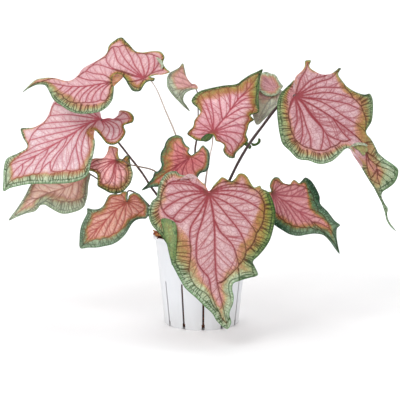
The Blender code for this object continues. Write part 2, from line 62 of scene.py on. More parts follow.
# %% Camera
PICTURE_SIZE = 400
PICTURE_FOCUS = 1095.0
PICTURE_SHIFT = 0.3
SENSOR_WIDTH = 36.0
EYE = np.array((-0.002, -1.455, 0.363))
EYE_DOWN = math.radians(7.7)
RIGHT = np.array((1.0, 0.0, 0.0))
FORWARD = np.array((0.0, math.cos(EYE_DOWN), -math.sin(EYE_DOWN)))
UPWARD = np.array((0.0, math.sin(EYE_DOWN), math.cos(EYE_DOWN)))

bpy.ops.object.camera_add(location=EYE, rotation=(math.pi / 2 - EYE_DOWN, 0, 0))
camera = bpy.context.object
camera.data.sensor_width = SENSOR_WIDTH
camera.data.lens = PICTURE_FOCUS / PICTURE_SIZE * SENSOR_WIDTH
camera.data.shift_y = PICTURE_SHIFT / PICTURE_SIZE
bpy.context.scene.camera = camera
print("lens", round(camera.data.lens, 1), "mm")

# %% [markdown]
# ## Colours and nodes
# Every colour is picked as an sRGB hex value, the way a swatch is read off a screen. Blender's shaders
# work in linear light, so one function converts them. Another adds a shader node together with its
# settings and its links. Inputs are named, or listed in the order in which the node shows them. A hex
# colour is converted on the way, and a node stands for its first output.

# %% Colour and node helpers


def linear(hex_value):
    """An sRGB hex colour such as "#E6B9BF" as linear red, green, blue and alpha."""
    channels = []
    for start in (1, 3, 5):
        share = int(hex_value[start:start + 2], 16) / 255
        channels.append(share / 12.92 if share <= 0.04045 else ((share + 0.055) / 1.055) ** 2.4)
    return (*channels, 1.0)


def set_inputs(node, inputs):
    """Sets a node's inputs to values or hex colours, or links them to other nodes."""
    if not isinstance(inputs, dict):
        inputs = dict(enumerate(inputs))
    shown = [socket for socket in node.inputs if socket.enabled]
    for key, value in inputs.items():
        socket = shown[key] if isinstance(key, int) else node.inputs[key]
        if isinstance(value, bpy.types.Node):
            value = [output for output in value.outputs if output.enabled][0]
        if isinstance(value, str):
            value = linear(value)
        if isinstance(value, bpy.types.NodeSocket):
            node.id_data.links.new(value, socket)
        else:
            socket.default_value = value


def add_node(tree, kind, inputs=(), stops=(), **settings):
    """A new shader node. stops are those of a colour ramp. Every Mix node mixes colours."""
    made = tree.nodes.new("ShaderNode" + kind)
    if kind == "Mix":
        made.data_type = "RGBA"
    for name, value in settings.items():
        setattr(made, name, value)
    set_inputs(made, inputs)
    if stops:
        points = made.color_ramp.elements
        while len(points) < len(stops):
            points.new(1)
        for point, (position, colour) in zip(points, stops):
            point.position = position
            point.color = linear(colour)
    return made


def new_material(name, inputs):
    """A material, its Principled BSDF with these inputs, and add_node for its tree."""
    made = bpy.data.materials.new(name)
    made.use_nodes = True
    shader = made.node_tree.nodes["Principled BSDF"]
    set_inputs(shader, inputs)
    return made, shader, partial(add_node, made.node_tree)


print("pure white is", linear("#FFFFFF"))

# %% [markdown]
# ## Lines of sight
# A leaf starts as a flat drawing on a slanted plane. The plane's distance and slant are chosen so that
# the blade hangs as a caladium's does, and each outline point is where the line of sight through a
# place in the picture meets that plane. Later, every bend and ruffle moves points along those same
# lines, so the outline stays where the picture has it while the leaf gains its depth.

# %% Lines of sight


def sight(x, y):
    """Lines of sight through places in the picture, each as a step that goes 1 forward."""
    x = np.asarray(x, float)[..., None]
    y = np.asarray(y, float)[..., None]
    middle = PICTURE_SIZE / 2
    return FORWARD + (x - middle) / PICTURE_FOCUS * RIGHT + (middle - y) / PICTURE_FOCUS * UPWARD


def place(x, y, depth):
    """The points seen at x, y whose Y is depth, in metres."""
    step = sight(x, y)
    return EYE + step * ((np.asarray(depth, float) - EYE[1]) / step[..., 1])[..., None]


print("the picture's middle, seen on the pot's axis:", place(200, 200, 0).round(3))

# %% [markdown]
# ## Smooth lines and outlines
# Outlines, veins and stalks are given by a few places each. A centripetal curve joins them, because it
# rounds a sharp bend without a loop. A search tree then finds the nearest point of a line for any spot,
# and with it an outline can spread what is known at its margin over the whole blade.

# %% Smooth lines and outlines
MARGIN_STEP = 1.0
# So many spots are worked on at a time, to spare memory.
BATCH = 3000


def smooth_line(knots, step, closed=False, places=2):
    """Points about a step apart on the curve through knots.

    The first columns are places, two or three of them. Any further columns are carried along smoothly.
    """
    knots = np.asarray(knots, float)
    if closed:
        ends = np.vstack((knots[-1:], knots, knots[:2]))
    else:
        ends = np.vstack((2 * knots[:1] - knots[1:2], knots, 2 * knots[-1:] - knots[-2:-1]))
    points = []
    for i in range(1, len(ends) - 2):
        a, b, c, d = ends[i - 1:i + 3]
        spans = [max(np.linalg.norm((q - p)[:places]), 1e-6) ** 0.5 for p, q in ((a, b), (b, c), (c, d))]
        t1, t2, t3 = np.cumsum(spans)
        count = max(int(round(spans[1] ** 2 / step)), 1)
        t = (t1 + (t2 - t1) * np.arange(count) / count)[:, None]
        ab = a + (b - a) * t / t1
        bc = b + (c - b) * (t - t1) / (t2 - t1)
        cd = c + (d - c) * (t - t2) / (t3 - t2)
        abc = ab + (bc - ab) * t / t2
        bcd = bc + (cd - bc) * (t - t1) / (t3 - t1)
        points.append(abc + (bcd - abc) * (t - t1) / (t2 - t1))
    if not closed:
        points.append(knots[-1:])
    return np.vstack(points)


def tree_of(points):
    """A search tree over points. Flat ones lie at height 0."""
    tree = kdtree.KDTree(len(points))
    for i, point in enumerate(points):
        tree.insert(Vector(point).to_3d(), i)
    tree.balance()
    return tree


def nearest(tree, spots):
    """The index of the nearest point in a tree, and the distance to it, for every flat spot."""
    found = [tree.find((x, y, 0))[1:] for x, y in spots[:, :2]]
    return np.array([index for index, _ in found]), np.array([distance for _, distance in found])


class Outline:
    """A closed, smooth outline in the flat drawing, with a value at each of its spots."""

    def __init__(self, knots, step):
        self.margin = smooth_line(knots, step, closed=True)
        self.margin_tree = tree_of(self.margin[:, :2])

    def inside(self, spots):
        """Which spots lie inside the margin, by counting how often a ray to the left crosses it."""
        x, y = self.margin[:, 0], self.margin[:, 1]
        x_next, y_next = np.roll(x, -1), np.roll(y, -1)
        result = np.zeros(len(spots), bool)
        for first in range(0, len(spots), BATCH):
            across, along = spots[first:first + BATCH, 0:1], spots[first:first + BATCH, 1:2]
            crossed = (y > along) != (y_next > along)
            where = x + (x_next - x) * (along - y) / np.where(y_next == y, 1e-9, y_next - y)
            result[first:first + BATCH] = np.sum(crossed & (across < where), axis=1) % 2 == 1
        return result

    def spread(self, spots, values, power):
        """Values given along the margin, spread smoothly over all spots by nearness."""
        result = np.zeros((len(spots), values.shape[1]))
        for first in range(0, len(spots), BATCH):
            near = spots[first:first + BATCH]
            distance = np.linalg.norm(near[:, None, :2] - self.margin[None, :, :2], axis=2) + 1e-3
            weight = distance ** -power
            result[first:first + BATCH] = weight @ values / weight.sum(1, keepdims=True)
        return result


square = Outline([(-10, -10, 0), (10, -10, 0), (10, 10, 0), (-10, 10, 0)], MARGIN_STEP)
print("a rounded square has", len(square.margin), "margin spots")

# %% [markdown]
# ## Drawing plane of a leaf
# A drawing holds one leaf on its plane, in millimetres across and along the line from the junction to
# the tip. It turns places of the picture into spots of the drawing, and spots into points in space,
# where the blade arches along its length, falls off to both sides, and ruffles towards its margin.

# %% Drawing plane of a leaf
RUFFLE_POWER = 2.5


class Drawing(Outline):
    """The flat drawing of one leaf and its plane."""

    def __init__(self, leaf):
        lean = math.radians(leaf["lean"])
        turn = math.radians(leaf["turn"])
        self.leaf = leaf
        self.normal = np.array((math.sin(turn) * math.cos(lean), -math.cos(turn) * math.cos(lean),
                                math.sin(lean)))
        self.origin = place(*leaf["junction"], leaf["depth"])
        to_tip = self.on_plane(*leaf["tip"]) - self.origin
        self.length = np.linalg.norm(to_tip) / MM
        self.along = to_tip / np.linalg.norm(to_tip)
        self.across = np.cross(self.normal, self.along)
        super().__init__(self.flat(leaf["outline"], 3), MARGIN_STEP)

    def on_plane(self, x, y):
        """The points of the leaf's plane that are seen at x, y."""
        step = sight(x, y)
        return EYE + step * ((self.origin - EYE) @ self.normal / (step @ self.normal))[..., None]

    def flat(self, numbers, size):
        """Where places of the picture lie in the drawing. Each has so many numbers, x and y first."""
        places = np.reshape(numbers, (-1, size)).astype(float)
        offset = (self.on_plane(places[:, 0], places[:, 1]) - self.origin) / MM
        return np.column_stack((offset @ self.across, offset @ self.along, places[:, 2:]))

    def outward(self, spots, margin_distance):
        """How far out spots lie on the way from the junction, 0, to the margin, 1."""
        from_junction = np.linalg.norm(spots[:, :2], axis=1)
        return from_junction / (from_junction + margin_distance + 1e-6)

    def raised(self, spots, extra):
        """Where spots of the drawing lie on the arched and ruffled blade, in metres."""
        outward = self.outward(spots, nearest(self.margin_tree, spots)[1])
        ruffle = self.spread(spots, self.margin[:, 2:3], 3)[:, 0]
        down = np.minimum(spots[:, 1] / self.length, 1)
        arched = np.where(down > 0, down * (1 - down), down / (1 - 3 * down))
        side = spots[:, 0] / self.length
        lift = (ruffle * outward ** RUFFLE_POWER + extra
                + 4 * (self.leaf["arch"] * arched - self.leaf["fall"] * side ** 2) / MM)
        points = self.origin + MM * (spots[:, :1] * self.across + spots[:, 1:2] * self.along)
        toward_eye = EYE - points
        return points + toward_eye * (lift * MM / np.linalg.norm(toward_eye, axis=1))[:, None]


drawings = {}


def draw_leaf(name, **leaf):
    """Keeps the drawing of one leaf."""
    drawings[name] = Drawing(leaf)
    print(name, "leaf:", round(drawings[name].length), "mm from junction to tip")


# %% [markdown]
# ## Twelve leaves
# No two leaves of a caladium match, so each is drawn on its own. All places are in the picture.
#
# - junction, tip, depth, lean, turn, arch and fall hold the blade's plane and its bend, as in the
#   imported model. depth, arch and fall are in metres, and lean and turn in degrees.
# - outline runs round the margin from the notch, three numbers for each place. The third lifts the edge
#   towards the eye, in mm. midrib has two numbers for each place.
# - veins: a vein leaves the midrib at a share of its length, may pass some places, and ends at a place
#   on the collector vein, which loops from end to end just inside the green edge. Where the share has a
#   minus sign, the loop passes the vein by.
# - rims: at a place on the margin, how wide the green and the olive are in mm, and how pale the green
#   is, from 0 for bottle green to 1 for mint.
# - flaps: bits of margin that curl over and show another tone, each an outline like the leaf's.

# %% [markdown]
# ## Front leaf
# The largest blade hangs forward over the pot. Its left edge folds up, and its tip is twisted.

# %% Front leaf
draw_leaf("front", junction=(209.2, 193), tip=(227.5, 328.7), depth=-0.07, lean=22, turn=3, arch=0.021,
          fall=0.014, outline=[
    208.6, 190.5, 0, 204.9, 184.3, 2, 201.4, 181.6, 3, 197.2, 177.4, 2, 191.4, 174.2, 0,
    186, 175.2, -2, 180.6, 174.6, -3, 175.7, 171, 0, 167.4, 172.4, 3, 162.4, 177.4, 2,
    159.1, 184, 0, 157.4, 191.5, -1, 156.2, 197.3, -2, 152.2, 200.8, 0, 149.1, 208.1, 3,
    148.7, 216.4, 4, 152.4, 225.5, 1, 159.1, 233, -2, 164, 239.6, -3, 166.5, 243.5, 0,
    169, 253.7, 3, 171.5, 262.8, 2, 175.7, 271.1, 0, 180.6, 280.2, -2, 184.8, 287.2, -3,
    190, 292.4, 0, 196.4, 298, 2, 204.7, 306.3, 3, 212.1, 313.1, 1, 217.1, 321.2, 0,
    222.9, 326.4, 0, 227.5, 328.7, 0, 231.2, 322, 0, 229.4, 314.5, 1, 230.4, 309.6, 2,
    232.9, 303.8, 2, 233.7, 296.3, 1, 232.1, 288.5, -2, 233.4, 283.2, -2, 239.5, 280.6, 0,
    250.3, 277.3, 4, 255.4, 276.2, 4, 257.9, 274.4, 3, 255.3, 267.3, 0, 252.9, 261.6, -3,
    258.6, 255.4, 0, 264.4, 248.7, 3, 270, 239.6, 4, 274.2, 224.5, 1, 275.5, 211.7, -2,
    273.6, 203, -1, 270.4, 194.8, 2, 266.9, 190.6, 3, 262, 188.4, 1, 260, 185.3, -1,
    254.4, 187, -3, 250.4, 182, -2, 247.8, 177.2, -1, 243.4, 173.4, 2, 238.7, 173.5, 3,
    235.4, 177.7, 1, 232, 180.6, -2, 228.2, 179.8, -2, 225.6, 178, 1, 221.9, 176.8, 2,
    218.4, 180, 2, 213.6, 185.2, 0, 210.6, 189.5, 0], midrib=[
    209.2, 193, 213, 212, 214.6, 230, 215, 255, 216.3, 276, 218.8, 290, 222.5, 304, 225.4, 316,
    227.3, 327], veins=[
    (0, 189, 179.5), (0, 177, 181), (0, 168, 184), (0, 161, 199), (0, 163, 210), (0.01, 173, 218.6),
    (0, 200.8, 203, 192, 212.5, 181, 222),
    (0, 200.8, 210.6, 191.3, 225.8, 189.8, 236, 191, 250, 190.2, 260, 189, 269.4, 190.8, 277.8, 195, 285,
     200.4, 289.8, 206.4, 293.4, 210, 298),
    (0, 201.7, 222, 197.9, 233.4, 196.2, 251, 198, 263.4, 202.8, 270.6, 208.8, 277.8, 211.2, 292, 214.8,
     303, 219.5, 312),
    (0, 223, 182), (0, 240, 184), (0, 254, 189), (0, 262.4, 199), (0.01, 264, 212), (0.02, 256.4, 233),
    (0.01, 226, 214, 240, 232, 244.8, 243, 246, 251),
    (0.2, 220.8, 232, 226.8, 238, 232.8, 245.4, 236.4, 255, 238.8, 264.6),
    (0.68, 223, 281, 231.6, 273, 238, 266.6)], rims=[
    (157, 191, 4, 7, 1), (149, 213, 6, 10, 0.6), (157, 230, 8, 6, 0.4), (161, 236, 9, 20, 0.1),
    (167, 247, 11, 24, 0.1), (171, 262, 12, 20, 0.4), (180, 280, 18, 9, 0.95), (192, 295, 18, 8, 1),
    (206, 308, 12, 6, 1), (220, 324, 7, 4, 0.9), (231, 312, 8, 4, 1), (233, 290, 9, 5, 1),
    (240, 280, 10, 7, 0.95), (254, 275, 12, 10, 0.75), (254, 261, 9, 14, 0.3), (264, 249, 12, 20, 0.15),
    (272, 230, 10, 22, 0.1), (275, 210, 11, 15, 0), (270, 195, 9, 10, 0), (256, 186, 1.2, 5, 0.3),
    (245, 175, 1.2, 6, 0.1), (236, 178, 1.2, 6, 0.2), (226, 179, 0.8, 3, 0.2), (217, 181, 1.2, 4, 0.1),
    (208.6, 190.5, 0.3, 0.4, 0.3), (204, 184, 0.8, 1, 0.3), (190, 174, 0.5, 0.5, 0.5),
    (172, 171, 3, 5, 1), (265, 190, 2, 7, 0.3)], flaps=[
    dict(tone="blush", outline=[
        180.4, 179.2, 1, 184, 176, 5, 189, 173.6, 6, 194, 174.6, 4, 197.8, 178, 1, 191, 178.2, 1]),
    # The fold is the darkest rim green, partly the rim's own green and partly painted shade in the fold.
    dict(tone="fold", outline=[
        161.2, 218.8, 1, 165.5, 218, 3, 170.5, 219.4, 4, 175.2, 222.6, 4, 177, 230, 4,
        177, 238, 3, 176.4, 247, 2, 176, 256, 1, 175, 263, 0, 172.4, 265, 0, 170.8, 260, 0,
        168.8, 252, 1, 166.8, 243.6, 2, 164.6, 237, 2, 163.2, 230, 2, 161.8, 224, 1])])

# %% [markdown]
# ## Big right leaf
# This one stands out to the right on the thickest stalk. Its lower end folds behind itself and runs out
# in a thin curled tail.

# %% Big right leaf
draw_leaf("big_right", junction=(295, 96.5), tip=(396, 230.8), depth=-0.006, lean=30, turn=20, arch=0.022,
          fall=0.014, outline=[
    293.8, 92.4, -2, 294.2, 86, 0, 294.6, 80.5, 2, 296, 76, 2, 301.7, 70.8, 0, 304.6, 66, -3,
    305.2, 60.6, -4, 308, 59.9, -4, 310.7, 60.2, -4, 309.4, 66.4, -3, 315.1, 71.3, 0,
    322.7, 74.2, 3, 331.3, 73.3, 0, 336.1, 70, -3, 338.9, 67.8, -4, 340.9, 68.1, -4,
    338.2, 74.2, -3, 341.9, 80.2, 0, 347.6, 86.9, 3, 357.2, 92.4, 3, 364.8, 94.3, 1,
    369.6, 93.5, -1, 372.4, 98.6, -2, 373, 108.9, 0, 371.5, 121.3, 3, 366.3, 130.4, 1,
    366.7, 133.9, -1, 371, 139, -3, 375.5, 147.1, -2, 378, 152.3, 0, 384.3, 158.2, 4,
    393.8, 164.8, 5, 398, 169, 4, 398, 174.6, 2, 394.6, 182.4, 0, 388.7, 187.5, -2,
    382.8, 191.6, -3, 381.4, 195.6, -2, 384, 202, 0, 388, 208.6, 2, 387, 213.4, 2, 389, 221.2, 0,
    396, 230.8, 0, 390.9, 226.4, 0, 386.8, 220, 0, 384.6, 211, 2, 381.4, 202, 0, 377, 193.4, -1,
    374, 187.5, -2, 369.6, 180.9, -1, 365.2, 173.6, 0, 360.5, 165.5, 3, 355, 156, 3,
    350.6, 149.4, 1, 347.6, 148, -2, 344.4, 149.4, 0, 340, 153.9, 2, 332.3, 160.6, 4,
    321.8, 163.7, 4, 315, 162.6, 2, 309.3, 160.4, 0, 297.8, 158.5, -3, 290.2, 151, 0,
    282.5, 143.3, 4, 279.7, 133.8, 2, 278, 123.3, -2, 277, 108.9, 0, 278.2, 98.8, 3,
    281.6, 91.9, 4, 286, 87.4, 4, 290, 83.8, 3, 294, 79.8, 2, 293.8, 86, 0], midrib=[
    295, 96.5, 312, 105, 330, 116, 348, 129.5, 361, 141, 365.8, 151.6, 370, 159.6, 376.2, 165,
    376.9, 170, 377.6, 178, 379.6, 184, 381.6, 191, 383, 200, 386, 208, 390, 221, 395, 229.5], veins=[
    (0, 300, 80, 306, 69.6, 308, 62.6), (0, 312, 79.6, 325, 76), (0, 318, 82.4, 331, 77.8, 338, 71),
    (0, 320, 87.6, 345, 88), (0, 330, 92.6, 353, 98), (0, 326, 99.6, 348, 104, 363, 111),
    (0, 322, 102, 346, 117.6, 359, 125.4, 365, 131), (0, 289.6, 107),
    (0, 291, 105, 288.6, 114, 290.6, 123), (0, 296.6, 110, 297, 121, 294, 131, 294, 136),
    (0, 299.6, 110, 302, 124, 302.6, 134, 300, 143.6), (0, 302, 112, 306.6, 127, 310, 136, 311, 148),
    (0, 303, 104, 310, 114.6, 318, 123.6, 322.6, 129, 323.2, 137, 320.6, 150.4),
    (0, 303.4, 103.6, 310.8, 114, 319, 123.6, 325.6, 133, 328.6, 140, 330.6, 147),
    (0, 303.8, 103.2, 311.4, 113.6, 320, 123.6, 326.8, 134, 334, 138, 341, 140.6),
    (0.24, 344, 134, 350, 139.6), (-0.509, 371, 154.8, 375.4, 158, 379.8, 161.4, 386.4, 164, 393.4, 167),
    (-0.607, 382, 167, 388, 169, 392.4, 171.6), (-0.636, 383, 172.6, 388, 175.4, 390.4, 177.6),
    (-0.636, 378.6, 174.4, 382, 176.8, 386, 180.6), (-0.607, 378.4, 163, 380.4, 161, 384, 158.4),
    (-0.636, 375.2, 172.2, 373, 175.6, 370.8, 178.4, 376, 182.4, 379.4, 184),
    (-0.529, 369.4, 163, 371.6, 166.4, 374, 170.4), (-0.519, 366.4, 161, 367.4, 168, 370.6, 177.4)], rims=[
    (278, 100, 8, 8, 0.3), (278, 122, 12, 10, 0.35), (283, 143, 12, 10, 0.5), (295, 157, 8, 9, 0.7),
    (310, 161, 9, 8, 0.9), (326, 162, 9, 8, 0.95), (340, 153, 6, 6, 0.95), (348, 148, 3, 3, 0.9),
    (287, 87, 3.5, 5, 0.1), (290, 84, 3, 3, 0.1), (294.4, 80, 0.4, 0.5, 0.3), (293.9, 91, 0.4, 0.5, 0.3),
    (303, 69, 0.5, 1, 0.3), (308, 60, 1.6, 3, 0.1), (320, 74, 0.3, 0.4, 0.2), (332, 73, 0.4, 0.5, 0.2),
    (340, 68, 2, 4, 0.1), (346, 85, 1.2, 7, 0.1), (357, 92.5, 2, 9, 0.3), (370, 95, 8, 15, 0.35),
    (373, 108, 10, 14, 0.4), (370, 124, 5, 14, 0.2), (366.5, 133, 1.6, 12, 0.1),
    (371, 139, 1.4, 18, 0.4), (377, 151, 3, 26, 0.6), (386, 159, 16, 9, 0.95), (397, 170, 25, 8, 0.9),
    (388, 187, 23, 8, 0.55), (366, 175, 2, 14, 0.5), (361, 166, 2, 14, 0.6), (355, 156, 0.5, 0.5, 0.3),
    (383, 199, 5, 3, 1), (386, 207, 5, 6, 1), (394, 229, 5, 6, 1)], flaps=[
    dict(tone="blush", outline=[
        349.4, 147.6, 4, 353, 151, 4, 359, 158, 4, 362.2, 163, 4, 361.8, 167.6, 4, 357, 160.5, 4,
        352, 153, 4]),
    # Painted shade: the dark inside of the curl over the tail.
    dict(tone="shade", outline=[
        353.4, 146, 2, 360, 144.8, 2, 366.4, 146, 2, 367.8, 149, 2, 366, 152.4, 2,
        363.6, 155.4, 2, 360, 151.4, 2]),
    dict(tone="mint", outline=[
        349, 147.4, 5, 354, 143.4, 6, 360, 142.2, 6, 366, 143.8, 5, 367.6, 145.8, 4,
        360, 144.7, 6, 354.6, 145.6, 6])])

# %% [markdown]
# ## Big left leaf
# A broad, pale blade that is seen almost flat, with a small round lobe to the right of its junction.

# %% Big left leaf
draw_leaf("big_left", junction=(100.8, 119.3), tip=(3.6, 190.7), depth=0.004, lean=30, turn=-22, arch=0.02,
          fall=0.013, outline=[
    102.2, 118.4, 0, 100.4, 113, -1, 99, 107, -2, 97, 100, -2, 88, 93, 0, 74, 90, 2, 60, 95, 2,
    52.9, 102.7, 0, 48.5, 114.2, -3, 44.6, 120.6, -2, 34.4, 126.9, 3, 27, 127.6, 5, 21, 128.4, 5,
    23, 137.1, 2, 27.4, 146.7, -3, 19.1, 152.4, 0, 6.8, 158.6, 4, 3.9, 167.8, 2, 3.4, 180, 1,
    3.6, 190.7, 0, 9.5, 188, 0, 16.6, 186.1, 0, 30.6, 183.7, -2, 51, 183.5, 1, 70.2, 182.4, 3,
    81.6, 179.2, 2, 88, 174.1, 0, 90.6, 163.9, -2, 93.7, 152.4, 0, 95, 142.2, 3, 93.4, 136, 3,
    90, 131.6, 2, 94.4, 130, 1, 100.8, 135.9, 0, 107.1, 143.3, -2, 114.8, 144.2, 0,
    121.2, 139.7, 3, 125.6, 132, 3, 123.9, 125.4, 0, 128.4, 123.4, 1, 132.7, 121.8, 2,
    133.9, 116.9, 3, 131.6, 113.2, 2, 128.8, 111.4, 0, 124, 110.2, -2, 119.5, 110.6, -4,
    117.8, 115, -3, 113.5, 118.4, -3, 108.4, 117.6, -2], midrib=[
    100.8, 119.3, 92, 122, 84, 126, 72, 134, 60, 141, 46, 149.6, 33, 157.6, 21, 165, 13, 173.4,
    5, 189.5], veins=[
    (0, 96, 101), (0, 86, 105, 78, 97), (0, 84, 112, 66, 107, 54.6, 103.4),
    (0, 84, 116.4, 68, 114.4, 50.6, 115.4), (0, 84, 121, 66, 121.6, 52, 122.4, 44, 123.6),
    (0.02, 80, 124.4, 62, 127.2, 37, 129.4), (0.08, 74, 129, 56, 133, 30, 140),
    (0.22, 66, 136.2, 52, 140.4, 36, 145.4, 27, 151), (0.4, 44, 148.6, 32, 152.4, 17, 158.4),
    (0.6, 28, 158.4, 18, 161.4, 8.6, 166), (0.03, 87.4, 130, 83, 141, 81.4, 152, 83.6, 162, 85.6, 167.6),
    (0.03, 90, 131, 88.4, 141, 89.8, 150, 88.8, 160),
    (0.1, 80.4, 133, 76, 144, 71.8, 153, 69.6, 161, 66, 169.6),
    (0.1, 80.6, 133, 76.4, 144, 77.6, 155, 79.4, 163, 79.6, 169.2),
    (0.22, 70, 140, 64, 148, 57, 157.4, 51.4, 170.6), (0.31, 63, 146.4, 57, 153, 51, 161),
    (0.38, 56, 147.4, 49, 154, 44, 162, 40.4, 172.4), (0.5, 46, 154, 38.6, 163, 33, 173.6),
    (0.62, 32.6, 162, 27, 168, 23.4, 175.6), (0.74, 22, 170, 17, 177.6), (0, 104, 128, 101, 133),
    (0, 106, 124, 109.4, 129, 108, 134, 105.4, 138), (0, 108, 122.4, 113, 127, 113.6, 133, 111.4, 139.6),
    (0, 110, 121, 117.4, 125, 119.6, 131, 118, 136.6), (0, 113, 119.6, 121, 121, 122.6, 128),
    (0, 114, 118.4, 123, 119, 129.6, 118), (0, 113, 117.6, 119.6, 115.6, 123, 112.4)], rims=[
    (88, 174, 9, 9, 0.95), (70, 182, 12, 8, 1), (51, 184, 12, 5, 1), (30, 184, 12, 3, 1),
    (12, 187, 11, 3, 1), (4, 180, 10, 6, 1), (5, 160, 9, 6, 1), (19, 152, 2.4, 1, 0.9),
    (27, 146, 1, 1, 0.9), (22, 132, 4, 1, 0.9), (34, 127, 1, 0.6, 0.8), (47, 117, 0.5, 0.5, 0.5),
    (60, 95, 0.5, 0.5, 0.4), (92, 160, 5, 6, 1), (95, 143, 2.5, 3, 0.8), (91, 132, 2.5, 3, 0.1),
    (100, 136, 1.8, 1.6, 0.05), (108, 143, 1.8, 1.6, 0.1), (121, 140, 2, 2, 0.1),
    (125, 131, 1.6, 1.6, 0.05), (131, 122, 2, 2, 0.05), (134, 117, 2, 3, 0), (128, 111, 0.8, 2, 0.2),
    (118, 113, 0.4, 0.4, 0.3), (106, 117, 0.3, 0.3, 0.3), (101, 116, 0.2, 0.3, 0.3),
    (97, 101, 0.3, 0.3, 0.3)], flaps=[
    dict(tone="olive", outline=[
        86.8, 130.8, 1, 90.5, 129.2, 4, 94.4, 129.6, 3, 93.9, 134, 3, 93.2, 139.8, 1,
        90.2, 135.4, 3])])

# %% [markdown]
# ## High left leaf
# The highest blade arches over to the left and ends in a thin hooked tip.

# %% High left leaf
draw_leaf("high_left", junction=(144, 78.5), tip=(22.7, 91.9), depth=-0.005, lean=40, turn=-14, arch=0.018,
          fall=0.012, outline=[
    150, 76.6, 2, 153.4, 75.2, -2, 156.9, 74.6, -3, 162, 74.4, -4, 166, 73.4, -2, 169.9, 71.8, 0,
    167, 69, 2, 164, 65.4, 3, 163.1, 61.5, 3, 164.5, 56.8, 4, 160.7, 51.6, 2, 153.1, 50.9, 0,
    142.9, 52.2, -3, 137, 51.4, -2, 133.9, 49.6, 0, 130.4, 45.4, 3, 126.3, 41.3, 5,
    121.8, 37.2, 6, 118, 38, 5, 114.8, 40.2, 3, 110.6, 43.4, 0, 108.4, 46.8, -2, 107.2, 51.6, -4,
    104.6, 55.3, -4, 98.6, 59.4, -2, 91.8, 63.2, 0, 85.6, 66.4, 2, 81.6, 69.5, 3, 78.6, 74, 2,
    75.3, 77.6, 0, 71, 80, -2, 66.3, 80.8, -3, 58, 78.6, 0, 51, 77.4, 2, 43, 77.8, 3, 36, 79.4, 2,
    29.3, 84.8, 1, 22.7, 91.9, 0, 29.3, 87.6, 0, 37, 84.4, 0, 44.6, 84.8, 2, 47.8, 88.6, 4,
    49.9, 92.7, 4, 53.6, 99.5, 5, 61.2, 105.2, 4, 70.2, 110.9, 0, 79.1, 113.3, -2, 91.8, 112.9, 2,
    100.8, 110.8, 5, 106, 107.4, 6, 109.7, 103.6, 5, 112.6, 98.4, 4, 113.5, 92.6, 2,
    113.9, 86.1, 0, 112.7, 80.4, -2, 113.9, 75.2, -4, 118.6, 74.2, -5, 122.4, 76.2, -5,
    125, 79, -3, 127.8, 83.8, 1, 130.1, 87.4, 3, 132.8, 90.4, 4, 136.6, 91.2, 5, 140.3, 90.3, 4,
    143.6, 85.4, 4, 146.6, 81.8, 4, 150, 80.7, 3, 153.8, 80.7, 1, 154.6, 77.8, 0, 152.2, 77.2, 1], midrib=[
    144, 78.5, 135, 81, 112, 82, 89.3, 85.4, 71.4, 86.4, 51, 83, 36, 82.4, 25, 90], veins=[
    (0, 163, 70), (0, 160, 60), (0, 152, 72, 154.6, 63, 153.4, 55),
    (0, 147.8, 71, 149, 64.6, 148, 58, 145.6, 54), (0, 143.8, 71, 142, 65, 139.6, 58, 136.6, 54),
    (0, 139.6, 72, 134.6, 65, 131.6, 58, 127.6, 51, 124.6, 45),
    (0, 136, 71, 129, 64, 122.6, 55.6, 118.6, 47),
    (0, 133, 71.6, 125.4, 67, 118.4, 62, 115.2, 54, 113, 46.6),
    (0, 134, 75, 124, 71.4, 113, 68, 107, 62, 106, 57),
    (0, 132, 75.6, 123, 72.2, 112, 69, 104, 66, 97, 64.6, 92.4, 65.4),
    (0.24, 104, 74.8, 94, 73.4, 86.6, 71), (0.27, 100, 80.4, 90, 80, 81, 77.6, 78.4, 76.6),
    (0, 141, 84, 139.6, 88), (0.02, 134, 81, 130.6, 83.6), (0, 147, 82),
    (0.24, 110.4, 88, 109, 94, 105.6, 100), (0.26, 105, 88, 101.6, 93, 100.4, 99.6),
    (0.28, 100, 88, 94.4, 94, 91, 102), (0.34, 94, 88.6, 88.4, 94, 85.4, 102),
    (0.4, 87.6, 90, 82, 95.6, 79, 102.4), (0.46, 81, 90, 76, 95.6, 73, 102),
    (0.52, 74.6, 90.6, 70, 95, 66.6, 99.6), (0.58, 68.6, 90, 62.4, 94.6), (0.66, 61, 88, 56, 91.4)], rims=[
    (165, 66, 1.6, 2, 0.05), (164, 56, 1.8, 3, 0.1), (153, 51, 0.8, 1.5, 0.2), (140, 52, 0.4, 1.5, 0.2),
    (127, 42, 2.2, 5, 0.1), (120, 38, 3.2, 4, 0.2), (111, 43, 1.6, 2.5, 0.2), (104, 56, 0.5, 0.8, 0.4),
    (90, 64, 0.5, 0.5, 0.5), (75, 78, 0.6, 0.5, 0.5), (52, 77.5, 0.8, 0.8, 0.4), (38, 79, 1.2, 2, 0.9),
    (26, 89, 1.4, 1.5, 0.9), (47, 87, 5, 12, 0.5), (54, 99, 9, 18, 0.55), (66, 108, 7, 16, 0.6),
    (82, 113, 6, 10, 0.7), (98, 111, 6, 9, 0.7), (109, 104, 6, 6, 0.8), (113, 92, 3, 3, 0.4),
    (113, 80, 1.8, 3, 0.1), (119, 74, 2.2, 4, 0.05), (127, 82, 3.8, 7, 0), (136, 91, 4, 9, 0.05),
    (146, 82, 2.4, 3, 0.05), (153, 79, 2.6, 1, 0.1), (160, 75, 0.6, 0.6, 0.4)], flaps=[
    dict(tone="mint", outline=[
        156.4, 57.2, 1, 159.6, 58, 3, 162.4, 61.4, 3, 163.4, 66, 2, 161.2, 69, 1, 161, 64.8, 3,
        158.4, 61.2, 3]),
    dict(tone="olive", outline=[
        112.2, 80, 1, 113.5, 75, 4, 118, 73.4, 5, 123.2, 76.2, 3, 121, 79.4, 3, 116.4, 83.4, 3,
        113.6, 86, 1])])

# %% [markdown]
# ## Low left leaf
# It hangs behind and below the big left one, and only its lower half shows.

